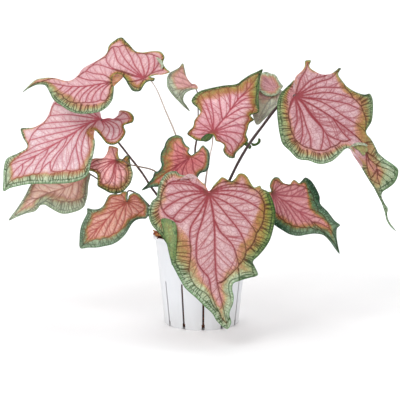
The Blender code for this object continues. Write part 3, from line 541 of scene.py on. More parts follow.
# %% Low left leaf
draw_leaf("low_left", junction=(84, 170), tip=(8.9, 220), depth=0.018, lean=30, turn=-20, arch=0.012,
          fall=0.008, outline=[
    86.5, 168, 0, 84, 160, 0, 76, 152, 0, 64, 152, 2, 52, 160, 0, 40, 172, -2, 30.6, 184.3, 0,
    25.5, 194.5, 2, 21, 202, 1, 16.6, 208.6, 0, 8.9, 220, 0, 16, 217, 0, 25.5, 213.2, 0,
    34.4, 211.1, 2, 37.6, 208.4, 1, 40.4, 204.9, -1, 44.6, 204.5, -2, 49, 207, 0, 53.6, 209.8, 2,
    62.5, 213.5, 3, 74, 211.8, 2, 80, 209.4, 1, 84.2, 206, -1, 86, 201, -2, 87.4, 195.8, -2,
    88.6, 183, 0, 90.5, 174, 0], midrib=[
    84, 170, 72, 184, 60, 189, 47, 193.4, 29, 204, 13, 217], veins=[
    (0, 80, 156), (0, 66, 157), (0.05, 54, 163), (0.12, 44, 172), (0.3, 36, 183), (0.5, 31, 192),
    (0.65, 24, 202), (0, 85.6, 186), (0.03, 83, 196), (0.12, 75, 200), (0.2, 66, 200.6),
    (0.3, 56, 198.6), (0.42, 47.6, 198.4), (0.6, 36, 204.6)], rims=[
    (60, 213, 21, 11, 0.85), (76, 211, 20, 11, 0.9), (50, 207, 15, 10, 0.8), (35, 210, 6, 5, 0.7),
    (20, 214, 6, 3, 0.8), (12, 217, 5, 1, 0.8), (18, 206, 4.5, 4, 0.7), (27, 191, 5, 5, 0.7),
    (40, 172, 2, 2, 0.4), (64, 152, 1, 1, 0.4), (88, 190, 6, 6, 0.9), (86, 203, 8, 6, 0.95)], flaps=[])

# %% [markdown]
# ## Small left leaf
# A small round blade with strong veins. A narrow neck rises from its lobe.

# %% Small left leaf
draw_leaf("small_left", junction=(116.5, 159.9), tip=(84, 168.5), depth=-0.014, lean=24, turn=-8,
          arch=0.006, fall=0.006, outline=[
    120, 158.8, 0, 118.6, 156, 0, 118, 152, 1, 118.1, 148.2, 2, 114, 146.2, 2, 109, 145.9, 3,
    108, 150, 1, 106.4, 153.6, 0, 103.2, 157.5, -1, 94, 158.2, -2, 88, 161, 0, 84, 168.5, 0,
    90.7, 170.7, 0, 94.9, 172.3, 0, 97, 174.4, 0, 97.4, 180, 1, 97.6, 185.5, 2, 101, 188, 3,
    104.5, 189.9, 3, 109.8, 192.6, 2, 117, 193.1, 0, 122.3, 191.7, 2, 126.4, 188.1, 3,
    130, 183.7, 1, 132.2, 178.2, 0, 132.9, 172.9, -2, 131.4, 167.4, -4, 130.2, 161.3, -5,
    129, 156.5, -5, 126.4, 155.2, -5, 124, 157.2, -4, 121.6, 160, -2], midrib=[
    116.5, 159.9, 107, 161.6, 97, 164.4, 87, 167.6], veins=[
    (0, 114, 154, 112.4, 148.4), (0, 105, 158.8, 98, 159.8), (0.1, 106, 164.6, 97, 169),
    (0.02, 110, 163.8, 104, 168.6, 100.4, 173), (0.02, 111.4, 165, 105.6, 171.6, 102, 180),
    (0, 113.8, 167, 112.9, 173, 111, 178, 107, 183, 102.6, 184), (0, 114.6, 168, 113.6, 176, 108, 187),
    (0, 116, 168, 115.4, 177, 114.4, 188.2), (0, 118.4, 166, 121, 172.6, 121.4, 179, 121, 187),
    (0, 120, 164.6, 124.8, 169, 126.8, 175, 125.4, 183), (0, 122, 163.2, 127.4, 166.6, 128.8, 174)], rims=[
    (112, 192.5, 4, 9, 0.3), (104, 190, 3.5, 6, 0.1), (98, 185, 2.5, 3, 0.1), (124, 190, 3.5, 11, 0.35),
    (131, 180, 2.4, 9, 0.75), (132, 169, 2, 8, 0.75), (129, 157, 2.4, 6, 0), (118, 150, 0.4, 2, 0.2),
    (110, 146, 0.4, 1.5, 0.2), (104, 157, 0.4, 0.6, 0.3), (90, 160, 0.7, 1, 0.3)], flaps=[])

# %% [markdown]
# ## Bottom left leaf
# It lies low at the left, more orange than the rest, with a bluer, speckled edge.

# %% Bottom left leaf
draw_leaf("bottom_left", junction=(126.8, 201.8), tip=(80.4, 247.8), depth=-0.022, lean=22, turn=-8,
          arch=0.012, fall=0.008, outline=[
    127.4, 199.4, 0, 126.6, 196, 0, 127.3, 192.6, 0, 125.6, 190.9, 2, 122.4, 191.6, 3,
    119.8, 193.7, 3, 114.6, 193.6, 0, 109.8, 194.6, -2, 107.4, 197, -2, 105.2, 202, 0,
    102.3, 206.4, 2, 98.2, 208.6, 3, 92.4, 208.9, 1, 87.4, 208.1, 0, 87, 213, 0, 83.3, 220.5, 0,
    80.8, 227.1, 2, 79.6, 237.9, 2, 80.4, 247.8, 0, 88.2, 247.4, 1, 96.5, 247.3, 2,
    104.8, 245.8, 0, 113.1, 243.7, -2, 119.8, 239.6, 0, 125.6, 233.7, 3, 129.7, 227.1, 2,
    132, 223.4, 0, 135.5, 220.3, -2, 140.5, 218.6, 0, 146.7, 217.8, 2, 148.6, 211.4, 2,
    148.4, 204.7, 0, 144.8, 199.6, -2, 142, 196.6, -1, 139.7, 193.9, 0, 135.5, 192.3, 3,
    131.4, 193.3, 2, 128.6, 195.8, 1, 128.2, 198.6, 0], midrib=[
    126.8, 201.8, 120.6, 206.6, 114.6, 211, 107, 219, 98.6, 227.6, 91, 234.6, 82, 246], veins=[
    (0, 124.6, 198, 121.4, 194.6), (0, 119, 199.6, 111, 197.6), (0, 118, 202.4, 105, 204.6),
    (0.02, 117, 205.2, 108, 207.8, 97, 212), (0.2, 108, 212.6, 98, 216, 90, 219),
    (0.4, 97.6, 222.4, 87.4, 227.6), (0.62, 90, 230.6, 85, 236), (0, 130, 198, 133.6, 195.4),
    (0, 132.6, 199.2, 139.4, 198.6), (0, 134, 201.4, 144.4, 203), (0, 134, 203.4, 144.6, 208.6),
    (0, 132, 205.4, 139.6, 212.6), (0, 129.6, 206.6, 132, 212, 130.6, 218.4),
    (0, 126, 207.6, 125.6, 213, 124.4, 220, 120.4, 229.4), (0.03, 121.4, 213, 118, 221.6, 113, 233.4),
    (0.2, 112, 219.6, 107, 229, 103.6, 238), (0.42, 101, 228, 95, 238.4),
    (0.62, 92.6, 236.4, 89, 241)], rims=[
    (100, 247, 11, 4, 0.5), (88, 247.4, 10, 3, 0.5), (112, 244, 10, 4, 0.45), (124, 235, 8, 4, 0.35),
    (133, 222, 5, 4, 0.1), (144, 218, 3, 4, 0.2), (148.6, 209, 3, 5, 0.3), (142, 197, 1.8, 5, 0.2),
    (133, 192.6, 0.6, 4, 0.2), (124, 191, 0.3, 4, 0.1), (112, 194.4, 0.4, 4, 0.2),
    (104, 204, 0.8, 6, 0.3), (96, 209, 4, 6, 0.4), (87, 210, 8, 5, 0.35), (82, 224, 8, 5, 0.3),
    (80, 240, 9, 4, 0.3)], flaps=[])

# %% [markdown]
# ## Red leaf in the middle
# A young blade, still deep red, that points down to the left.

# %% Red leaf in the middle
draw_leaf("centre_red", junction=(191, 156.6), tip=(141.7, 190), depth=-0.02, lean=26, turn=-6, arch=0.009,
          fall=0.007, outline=[
    191.6, 154.8, 0, 188.4, 152, 2, 189.6, 147.6, 3, 186.4, 145.2, 1, 183.9, 141.3, 0,
    182.3, 137.3, -2, 179, 135.2, -1, 175.7, 134.9, 0, 169, 137.7, 2, 165.7, 142.1, 0,
    164, 147.1, -1, 160.9, 152.9, -2, 160.3, 159.5, 0, 161.4, 165.3, 2, 158.2, 170.6, 1,
    154.6, 171.7, 0, 152.4, 177.7, 2, 147.5, 183.5, 0, 141.7, 190, 0, 150, 187.4, 0,
    157.4, 186.5, 0, 166, 188, 1, 172, 190, 2, 186, 188, 0, 196, 180, -2, 200.6, 173, -1,
    206.3, 171.1, 1, 208.8, 167, 2, 209.7, 159.5, 2, 209.5, 153.7, 1, 208.6, 150.4, 0,
    205.8, 147.4, -1, 203, 145, -2, 200.5, 147.1, -1, 198.2, 150.2, 0, 194.4, 153, 0], midrib=[
    191, 156.6, 180, 163.6, 168, 171.6, 156, 180, 144, 188.6], veins=[
    (0, 184.4, 148, 180.6, 138.6), (0, 186, 151, 179, 146, 172.6, 139.6),
    (0.01, 181, 153, 173, 149.4, 168.6, 146.4), (0.01, 180, 155.6, 171, 156, 166, 154.6),
    (0.02, 179, 159, 169, 161.8, 165.4, 164), (0.22, 171, 166.6, 164, 169.6), (0.5, 157.6, 174.6),
    (0, 193, 154, 200, 151), (0, 198, 154.6, 205.4, 155), (0, 197, 159, 204.6, 164),
    (0, 192.8, 163, 193.4, 170, 196.4, 175), (0.02, 185.6, 164, 182.8, 171, 182.4, 180),
    (0.08, 177, 170, 172, 179, 170, 185.4), (0.25, 166, 177, 160, 183.4)], rims=[
    (175, 135, 1.4, 10, 0), (165, 143, 2.4, 16, 0), (160.5, 157, 3.2, 18, 0), (160, 168, 3.6, 14, 0),
    (150, 181, 3.2, 8, 0), (143, 189, 4, 2, 0), (155, 187, 3.4, 5, 0.05), (172, 190, 3, 3, 0.1),
    (196, 180, 3, 3, 0.1), (207, 170, 3.8, 4, 0), (209.8, 158, 3.6, 4, 0.05), (204, 146, 2, 2, 0.2),
    (198, 150, 1, 2, 0.2), (189, 150, 1.2, 2, 0.1), (184, 141, 2, 3, 0.05)], flaps=[])

# %% [markdown]
# ## Upright leaf
# It stands up with its tip at the top right, and a green fold beside its notch.

# %% Upright leaf
draw_leaf("upright", junction=(213.4, 132.1), tip=(262.7, 69), depth=0.015, lean=26, turn=4, arch=0.013,
          fall=0.01, outline=[
    212.6, 134.6, 0, 208, 139.4, 2, 203.6, 140.8, 4, 196.4, 140, 3, 191.4, 137.1, 0,
    187.3, 133.8, 0, 188.9, 130.5, 2, 193.1, 126.3, 0, 194.7, 119.7, -2, 200.3, 112.2, 0,
    197.2, 107.3, 1, 193.1, 103.9, 2, 191.5, 100.6, 3, 193.9, 95.7, 2, 199.7, 90.9, 0,
    208.8, 88.2, -2, 222.9, 85.3, 0, 237, 83.4, 3, 242.8, 79.1, 2, 250.3, 74.3, 0, 256, 71.8, 0,
    262.7, 69, 0, 260.2, 76.6, -2, 259.4, 84.9, -1, 258.6, 99.8, 0, 259.3, 108, 2,
    258.4, 112.4, 1, 255.3, 113.5, 0, 250.7, 115, -1, 253.8, 119.5, -3, 249.5, 123.2, -2,
    247.8, 128.8, 0, 246.3, 134.6, 3, 248.2, 140.2, 2, 242.8, 146.2, -3, 238.7, 149.8, 0,
    235.6, 153.7, 2, 234.4, 157.6, 3, 229.6, 157.6, 2, 224.8, 153.7, 1, 223.2, 149.6, 0,
    224.2, 145, -1, 220.4, 142, -2, 216, 140.6, -1, 214.2, 136.6, 0], midrib=[
    213.4, 132.1, 218.8, 124.7, 225.4, 116.4, 237.8, 99.8, 247, 90, 255.6, 79, 261, 71.4], veins=[
    (0, 199.5, 134.6, 191.6, 133.4), (0, 199.6, 129.6, 193, 128), (0, 202, 124, 197, 119.6),
    (0, 208, 120, 204.6, 111.4, 198.6, 101), (0, 211, 118, 207, 106, 200.6, 94.6),
    (0, 213.4, 114.8, 211.4, 104.6, 209, 91.6), (0.2, 220, 104.6, 218.6, 89.4),
    (0.36, 230, 96, 228.4, 87.6), (0.52, 238, 92, 238, 86.4), (0.7, 247, 84, 248, 79),
    (0, 219, 139, 227, 148), (0, 220, 137.6, 231.6, 146, 233, 153.6), (0, 230, 137, 239, 143.6),
    (0, 231.8, 131.8, 243.6, 134), (0, 235, 125, 244.6, 124.6),
    (0.02, 231.8, 121.6, 242, 116.5, 249, 115.6), (0.22, 242, 108, 254, 107),
    (0.38, 245.4, 98.6, 255.4, 97), (0.55, 250, 90, 256.4, 86)], rims=[
    (191, 101, 6, 12, 0.2), (200, 91, 5, 14, 0.2), (215, 87, 4, 12, 0.2), (236, 83.6, 4, 10, 0.2),
    (248, 76, 4, 10, 0.2), (261, 70, 4, 8, 0.1), (259.5, 84, 7, 9, 0.1), (258.8, 100, 7, 9, 0.1),
    (257, 113, 2, 6, 0.2), (253, 119, 1.8, 3, 0), (247.5, 130, 1.6, 3, 0.1), (246, 143, 2.6, 3, 0),
    (238, 150.4, 2.2, 2.5, 0.3), (232, 158, 3, 2.5, 0.5), (224, 150, 1.8, 2, 0.3),
    (221, 142.4, 0.8, 1, 0.1), (203, 140.6, 2, 2, 0), (192, 137.4, 2.4, 2, 0.05),
    (188, 132, 1.8, 2, 0.1), (194.6, 120, 0.8, 1.5, 0.2), (200, 112, 0.6, 1, 0.2)], flaps=[
    dict(tone="green", outline=[
        201, 139.4, 1, 204.6, 134.8, 4, 209, 133.4, 4, 212.6, 134.6, 2, 211, 138.6, 3,
        206, 141.4, 1]),
    dict(tone="green", outline=[
        246.8, 141.6, 1, 249.4, 143.4, 3, 251.6, 146.4, 4, 249.6, 148.8, 4, 247, 146.6, 3,
        244.6, 144.4, 1]),
    dict(tone="green", outline=[
        251, 142.4, 2, 254.6, 143.2, 3, 257.6, 141.6, 3, 258.4, 138, 3, 260.2, 138.6, 3,
        260.4, 142, 4, 257, 145, 4, 252.6, 145.6, 3])])

# %% [markdown]
# ## Back right leaf
# Its top is cupped and shows a rosy inside, over a pale green lower part in shade.

# %% Back right leaf
draw_leaf("back_right", junction=(277, 91), tip=(256.4, 124.3), depth=0.062, lean=20, turn=6, arch=0.006,
          fall=0.005, outline=[
    279.4, 89.2, 0, 283.2, 86.2, 0, 281.4, 83.7, 2, 278.8, 80, 0, 276.5, 75.8, 2, 273.6, 73.6, 1,
    270.7, 73.2, 0, 267, 71.6, -1, 264, 71.9, -2, 257, 76, 0, 252, 88, 0, 251, 100, 0,
    252.5, 114, 0, 256.4, 124.3, 0, 259, 124.1, 0, 264, 119.4, 1, 270.7, 112.7, 2, 276, 107.3, 0,
    286, 104, 0, 290, 97, 0, 285, 91.5, 0], midrib=[
    277, 91, 270, 99, 263, 110, 257.6, 121], veins=[
    (0, 279, 85), (0, 275, 79), (0, 268, 76), (0.02, 260, 80), (0.1, 256, 90), (0.3, 254, 102),
    (0.1, 284, 97), (0.1, 276, 102), (0.3, 268, 109)], rims=[
    (275, 75, 3, 2, 0.9), (264, 72, 2.6, 2, 0.9), (282, 85, 4, 2, 1), (254, 116, 26, 12, 0.85),
    (258, 124, 22, 10, 0.95), (268, 115, 22, 14, 0.85), (277, 107, 16, 12, 0.9), (290, 97, 12, 4, 1),
    (252, 88, 2, 2, 0.6)], flaps=[
    dict(tone="cup", outline=[
        258.2, 77, 1, 257.4, 84, 2, 259.2, 90.4, 3, 262.8, 93.8, 4, 267.4, 95.8, 4, 272.7, 96, 4,
        277.4, 94.4, 3, 280, 90.6, 2, 282.6, 86, 1, 280.8, 84, 1, 278.4, 80, 1, 276.2, 76.2, 1,
        273.4, 74, 1, 270.4, 73.8, 1, 267, 72.2, 1, 264, 72.4, 1, 261, 74, 1])])

# %% [markdown]
# ## Low right leaf
# It points down to the right, and its green edge is the darkest of all.

# %% Low right leaf
draw_leaf("low_right", junction=(271.6, 194), tip=(339.5, 253.3), depth=-0.026, lean=22, turn=10,
          arch=0.014, fall=0.009, outline=[
    271, 191, 0, 269.6, 185.4, 1, 271.6, 180, 2, 274.7, 176.9, 3, 278, 176.9, 2, 281, 180, 1,
    283.9, 182.7, 0, 290, 183.7, -2, 292, 181, -1, 294.2, 179.5, 0, 297, 181.2, 1,
    299.2, 182.7, 2, 302, 180, 2, 305.3, 177.2, 2, 310.4, 179.8, 1, 315.5, 186.9, -2,
    319.6, 196.1, 0, 320.3, 203.3, 2, 327.8, 211.4, 0, 334.9, 220.6, -2, 340, 225, -1,
    337, 228.2, 0, 336.7, 236.9, 2, 338, 245, 1, 339.5, 253.3, 0, 334.9, 248, 0, 329.8, 240.8, 2,
    323.7, 235, 1, 315.5, 233.4, 0, 306.3, 234.4, -2, 298.2, 235.7, 0, 289, 233.7, 3,
    281.8, 229.6, 2, 275.2, 225.3, 0, 268, 219, 0, 261, 208, 0, 262, 196, 0, 267.5, 191.5, 0], midrib=[
    271.6, 194, 279, 197.4, 286, 202, 294, 208, 303, 214.4, 311, 220.4, 319, 227, 326, 233.4,
    333, 241, 338.6, 251], veins=[
    (0, 273, 187, 275, 180), (0, 276, 188.4, 281.4, 184), (0, 281, 189, 289.4, 185.6),
    (0, 284, 191.6, 294, 189.4, 300, 185.6),
    (0, 281, 194.6, 291, 196.2, 300, 196.6, 308, 198, 314, 200.6), (0, 291, 195.6, 298, 191.4, 306, 188),
    (0, 300, 195.8, 306, 192.6, 311.4, 192.6), (0.16, 291, 201.4, 300, 205.6, 308, 208.4, 318, 211.6),
    (0.34, 311, 215, 320, 217.6, 326, 219.4), (0.55, 320, 223, 329, 228), (0, 273.4, 200, 273.8, 208),
    (0, 275, 200, 276.6, 207, 277.6, 214), (0, 277.4, 202, 280.6, 210, 283.6, 220),
    (0.03, 281, 203, 286, 212, 289.6, 224), (0.1, 285.6, 206, 292, 215, 297.6, 226),
    (0.22, 294, 212, 299.6, 219, 305, 227), (0.38, 305, 219.6, 311, 227), (0.52, 315, 227, 319, 229.6),
    (0.66, 325, 235)], rims=[
    (308, 178.6, 8, 3, 0), (314, 185, 16, 6, 0), (320, 199, 14, 7, 0), (325, 209, 10, 5, 0.1),
    (335, 221, 10, 5, 0.25), (337, 232, 6, 4, 0.2), (338.6, 247, 6, 3, 0.2), (331, 242, 6, 5, 0.2),
    (320, 234, 8, 6, 0.2), (305, 234.6, 9, 6, 0.3), (292, 235, 10, 8, 0.15), (280, 229, 10, 10, 0),
    (268, 219, 9, 6, 0), (262, 200, 3, 3, 0.1), (268.6, 186, 0.3, 4, 0.2), (277.6, 176.6, 1.4, 7, 0.1),
    (284, 183, 0.3, 2, 0.2), (294, 179.6, 0.6, 6, 0.2), (299, 182.6, 0.4, 2, 0.2),
    (273, 178.4, 0.4, 6, 0.2), (290, 183.4, 0.3, 2, 0.2)], flaps=[])

# %% [markdown]
# ## Far back leaf
# The smallest blade, half pink and half pale green, on the longest stalk.

# %% Far back leaf
draw_leaf("far_back", junction=(193, 85), tip=(189.8, 111), depth=0.125, lean=8, turn=0, arch=0.005,
          fall=0.004, outline=[
    194.6, 83.6, 0, 192, 83.6, 0, 189.8, 81.4, 0, 186.5, 76.6, 0, 184.6, 69.1, 2, 182.8, 63, 3,
    179, 67.2, 0, 174, 70.2, -2, 170.2, 72.2, -1, 167.6, 76, 0, 166.9, 80.7, 0, 167.2, 86.1, 2,
    170.7, 92.3, 0, 174.6, 97, 1, 179, 101.5, 2, 184, 106.6, 0, 189.8, 111, 0, 186.6, 105.4, 0,
    183.4, 100.6, 0, 183.6, 96.4, 0, 186, 92.4, 0, 191, 89.9, 0, 197.7, 88.2, 0, 197.6, 86.2, 0], midrib=[
    193, 85, 186, 88, 180, 92, 182, 100, 188.5, 110], veins=[
    (0, 184, 68), (0, 178, 70.6), (0, 170.6, 76), (0.1, 169, 84), (0.3, 172.6, 91), (0.5, 178, 98),
    (0, 188.6, 80.6), (0, 196.4, 87)], rims=[
    (183, 66, 1.2, 3, 0.1), (176, 69, 2, 6, 0.2), (169, 74, 4, 6, 0.5), (167, 83, 11, 4, 1),
    (175, 97, 17, 5, 1), (186, 108, 16, 5, 1), (185, 98, 12, 3, 1), (190, 91, 4, 3, 0.7),
    (197, 88.6, 0.6, 1, 0.4), (187, 77, 0.5, 0.6, 0.5)], flaps=[])

# %% [markdown]
# ## Arcs and tapers
# A caladium's veins are drawn as lines of spots in the flat drawing, so that the mesh can follow them
# exactly. A third number holds the half width in mm. It shrinks along the vein and wavers a little,
# which keeps the lines from looking ruled.

# %% Arcs and tapers
VEIN_STEP = 0.9
TAPER_POWER = 0.7
WAVER = 0.22
WAVER_STEP = 0.9
# Where a vein may be in its wavering when it starts.
PHASES = (0, 6)


def left_of(start, end):
    """A step at right angles to the way from start to end, and as long."""
    return np.array((start[1] - end[1], end[0] - start[0]))


def bowed(start, end, bow):
    """Spots on an arc from start to end, whose middle stands out by bow, to the left of the way."""
    length = max(np.linalg.norm(end - start), 1e-6)
    t = np.linspace(0, 1, max(int(length / VEIN_STEP), 2) + 1)[:, None]
    middle = (start + end) / 2 + 2 * bow * left_of(start, end) / length
    return (1 - t) ** 2 * start + 2 * t * (1 - t) * middle + t ** 2 * end


def tapered(spots, start_width, end_width, phase):
    """A line with its half width as a third number."""
    width = start_width + (end_width - start_width) * np.linspace(0, 1, len(spots)) ** TAPER_POWER
    return np.column_stack((spots, width * (1 + WAVER * np.sin(np.arange(len(spots)) * WAVER_STEP + phase))))


print("an arc of 10 mm has", len(bowed(np.zeros(2), np.array((10.0, 0.0)), 1)), "spots")

# %% [markdown]
# ## Main veins
# The midrib and the side veins fan out from where the stalk joins. A collector vein loops from end to
# end of the side veins, just inside the green edge, and bows outward between them as in the real leaf.

# %% Main veins
# Half widths in mm at FULL_LENGTH. Longer and shorter leaves have them in proportion.
MIDRIB_WIDTHS = (1.35, 0.35)
SIDE_WIDTHS = (1.0, 0.42)
COLLECTOR_WIDTH = 0.78
FULL_LENGTH = 150
LEAST_SIZE, MOST_SIZE = 0.6, 1.1
# How far an arc bows, as a share of its length.
BOW = 0.10
# The collector reaches the midrib at this share of it.
TIP_SHARE = 0.97
# Ends further apart than this share of the leaf's length aren't looped.
LOOP_REACH = 0.45


def main_veins(drawing, size, rng):
    """The main veins, and those that the collector loops, each with its end and its branches' sides."""
    midrib = smooth_line(drawing.flat(drawing.leaf["midrib"], 2), VEIN_STEP)
    main = [tapered(midrib, MIDRIB_WIDTHS[0] * size, MIDRIB_WIDTHS[1], rng.uniform(*PHASES))]
    looped = []

    def loop(line, end, turns):
        looped.append((drawing.margin_tree.find((*end, 0))[1], line, end, turns))

    for share, *places in drawing.leaf["veins"]:
        start = midrib[int(abs(share) * (len(midrib) - 1))]
        stops = drawing.flat(places, 2)
        end = stops[-1]
        if len(stops) > 1:
            side = smooth_line([start, *stops], VEIN_STEP)
        else:
            outward = (0.8 * np.sign(end[0] or 1), -0.6)
            sign = np.sign(left_of(start, end) @ outward)
            side = bowed(start, end, BOW * np.linalg.norm(end - start) * sign)
        main.append(tapered(side, SIDE_WIDTHS[0] * size, SIDE_WIDTHS[1] * size, rng.uniform(*PHASES)))
        if share >= 0:
            loop(side, end, (-(np.sign(side[len(side) // 2, 0]) or 1),))
    loop(midrib, midrib[int(TIP_SHARE * (len(midrib) - 1))], (1, -1))
    looped.sort(key=lambda item: item[0])
    for (_, _, start, _), (_, _, end, _) in zip(looped, looped[1:]):
        chord = np.linalg.norm(end - start)
        if chord < LOOP_REACH * drawing.length:
            away = np.sign(left_of(start, end) @ (start + end)) or 1
            width = COLLECTOR_WIDTH * size
            main.append(tapered(bowed(start, end, BOW * chord * away), width, width, rng.uniform(*PHASES)))
    return main, looped


print("a leaf's main veins are at most", 2 * MIDRIB_WIDTHS[0] * MOST_SIZE, "mm wide")

# %% [markdown]
# ## Cross branches
# Thin branches tie neighbouring veins together. Each leaves its vein at a slant, looks for the first
# vein in its way, and ends there.

# %% Cross branches
BRANCH_GAP = 9.0
BRANCH_ANGLE = math.radians(38)
BRANCH_SPREAD = math.radians(8)
BRANCH_NEAREST, BRANCH_FURTHEST = 3.5, 45
BRANCH_WIDTHS = (0.25, 0.5)
BRANCH_END_WIDTH = 0.15


def first_met(start, way, spots):
    """The first spot of a set that is met from start in a direction, or None if none is near."""
    step = spots - start
    length = np.linalg.norm(step, axis=1) + 1e-6
    met = (step @ way / length > math.cos(BRANCH_SPREAD)) & (length > BRANCH_NEAREST)
    met &= length < BRANCH_FURTHEST
    return spots[np.argmin(np.where(met, length, 1e6))] if met.any() else None


def branch_lines(main, looped, size, rng):
    """The branches of the looped veins."""
    branches = []
    goals = np.vstack(main)[:, :2]
    for _, line, _, turns in looped:
        for turn in turns:
            at = rng.uniform(4, 9)
            while at < (len(line) - 4) * VEIN_STEP:
                start, ahead = line[int(at / VEIN_STEP)], line[int(at / VEIN_STEP) + 2]
                angle = turn * BRANCH_ANGLE * rng.uniform(0.65, 1.45)
                angle += math.atan2(ahead[1] - start[1], ahead[0] - start[0])
                goal = first_met(start, np.array((math.cos(angle), math.sin(angle))), goals)
                if goal is not None:
                    bow = turn * rng.uniform(-0.16, 0.04) * np.linalg.norm(goal - start)
                    branches.append(tapered(bowed(start, goal, bow), rng.uniform(*BRANCH_WIDTHS) * size,
                                            BRANCH_END_WIDTH * size, rng.uniform(*PHASES)))
                at += BRANCH_GAP * rng.uniform(0.5, 1.5)
    return branches


print("a branch every", BRANCH_GAP, "mm or so")

# %% [markdown]
# ## The coloured rim
# The rim is green outside and olive inside, and its widths change round the leaf. One last vein runs
# in the green, parallel to the margin. Veinlets comb across the rim from the collector to that vein,
# and shorter ones from there to the margin.

# %% Rim and its lines
COMB_GAP = 3.7
COMB_WIDTH = 0.52
COMB_INNER_WIDTHS = (0.32, 0.72)
COMB_TIP_WIDTH = 0.15
# A narrower green has no comb.
COMB_GREEN = 1.6
# The edge vein runs at this share of the green's width, and between these two distances in mm.
EDGE_SHARE = 0.42
EDGE_NEAREST, EDGE_FURTHEST = 0.9, 5.0


def rim_widths(drawing):
    """Green width, olive width and paleness at every spot of the margin."""
    stations = drawing.flat(drawing.leaf["rims"], 5)
    index, _ = nearest(drawing.margin_tree, stations)
    stations = np.array(sorted((i, *station[2:]) for i, station in zip(index, stations)))
    count = len(drawing.margin)
    where = np.concatenate((stations[:, 0] - count, stations[:, 0], stations[:, 0] + count))
    return np.column_stack([np.interp(np.arange(count), where, np.tile(stations[:, i], 3))
                            for i in (1, 2, 3)])


def edge_vein(green):
    """How far inside the margin the edge vein runs, where the green is this wide, in mm."""
    return np.clip(green * EDGE_SHARE, EDGE_NEAREST, EDGE_FURTHEST)


def comb_lines(drawing, main, rim):
    """The veinlets of the comb, with their half widths."""
    lines = []
    rng = random.Random(drawing.leaf["tip"][1])
    tree = tree_of(np.vstack(main)[:, :2])
    at = 0
    while at < len(drawing.margin):
        green, olive = rim[int(at), :2]
        start = drawing.margin[int(at), :2]
        target, _, distance = tree.find((*start, 0))
        way = (np.array(target[:2]) - start) / distance
        near, far = edge_vein(green), min(distance, 0.9 * (green + olive))
        if green > COMB_GREEN and far > near + 1.5:
            spots = bowed(start + near * way, start + far * way, rng.uniform(-0.12, 0.12) * (far - near))
            width = np.linspace(COMB_WIDTH, rng.uniform(*COMB_INNER_WIDTHS), len(spots))
            lines.append(np.column_stack((spots, width)))
            outer = drawing.margin[int(at + rng.uniform(1, 3)) % len(drawing.margin), :2]
            spots = bowed(outer + 0.15 * near * way, outer + near * way, 0)
            lines.append(np.column_stack((spots, np.linspace(COMB_TIP_WIDTH, COMB_WIDTH, len(spots)))))
        at += COMB_GAP * rng.uniform(0.6, 1.5) / MARGIN_STEP
    return lines


for name, drawing in drawings.items():
    print(name, "green is up to", round(rim_widths(drawing)[:, 0].max()), "mm wide")

# %% [markdown]
# ## From drawing to mesh
# The mesh has spots on the margin, along every vein, and on an even hexagonal grid between them. A
# constrained Delaunay triangulation joins them up. It keeps the margin as drawn, which a grid projected
# on the outline could not.

# %% Triangles inside an outline
HEX_STEP = 1.05
KEEP_APART = 0.55


def thinned(groups, apart):
    """The spots of every group in turn, without those too close to a spot that is already kept."""
    kept = []
    cells = {}
    for spots in groups:
        for spot in spots:
            column, row = int(spot[0] // apart), int(spot[1] // apart)
            near = [other for i in (column - 1, column, column + 1) for j in (row - 1, row, row + 1)
                    for other in cells.get((i, j), ())]
            if all((x - spot[0]) ** 2 + (y - spot[1]) ** 2 >= apart ** 2 for x, y in near):
                cells.setdefault((column, row), []).append(spot)
                kept.append(spot)
    return np.array(kept)


def hexagons(margin):
    """An even hexagonal grid of spots over the box of a margin."""
    low, high = margin.min(0), margin.max(0)
    spots = []
    for i, row in enumerate(np.arange(low[1], high[1], HEX_STEP * math.sqrt(3) / 2)):
        across = np.arange(low[0] + HEX_STEP / 2 * (i % 2), high[0], HEX_STEP)
        spots.append(np.column_stack((across, np.full(len(across), row))))
    return np.vstack(spots)


def meshed(outline, lines):
    """Spots inside an outline and along lines, and the triangles between them, which face the eye."""
    margin = outline.margin[:, :2]
    inner = thinned([margin, *(line[:, :2] for line in lines), hexagons(margin)], KEEP_APART)
    inner = inner[outline.inside(inner)]
    inner = inner[nearest(outline.margin_tree, inner)[1] > KEEP_APART]
    count = len(margin)
    edges = [(i, (i + 1) % count) for i in range(count)]
    spots, _, faces, *_ = geometry.delaunay_2d_cdt([Vector(spot) for spot in (*margin, *inner)], edges,
                                                   [list(range(count))], 1, 1e-5)
    return np.array([tuple(spot) for spot in spots]), [tuple(reversed(face)) for face in faces]


print("the test square has", len(meshed(square, [])[1]), "triangles")

# %% [markdown]
# ## Relief and values of a blade
# Every spot gets its relief: the veins sink in, the blade swells between them, and the edge ripples.
# What the material needs is worked out here too: how far a spot is into a vein, a branch or a thread of
# the rim, how strongly the veins glow there, where it lies across the rim, how pale the rim is, and how
# far a pale tone lightens the leaf, as painted light on leaves in the shade of others.

# %% Values of a blade
# back is how far the pale tone of painted light is mixed in.
VALUE_NAMES = ("vein", "branch", "thread", "glow", "rim", "pale", "back")
# How softly a line fades out on each side, in mm.
VEIN_SOFTNESS, BRANCH_SOFTNESS, THREAD_SOFTNESS = 0.75, 0.8, 0.6
# These leaves have finer veins than the rest.
FINENESS = {"big_left": 0.74, "high_left": 0.8}
# How far the rose tone reaches from the junction, in mm. It reaches ROSE_USUAL in the rest.
ROSE_REACH = {"upright": 36.0}
ROSE_USUAL = 21.0
VEIN_GLOW, BRANCH_GLOW = 2.6, 1.6
# How far a pale tone is mixed into a leaf, as painted light that lifts leaves lying in the shade of others.
PAINTED_LIGHT_SHARES = {"far_back": 0.35, "back_right": 0.7, "low_left": 0.3}
# Depths and heights of the relief in mm, and the length of a ripple.
VEIN_SINK = 0.7
BRANCH_SINK = 0.45
SWELL = 1.5
RIPPLE = 1.5
RIPPLE_LENGTH = 19.0
# How much narrower the cells of the rim's net are along the rim than across it.
RIM_CELL_STRETCH = 0.38
PINK = 4


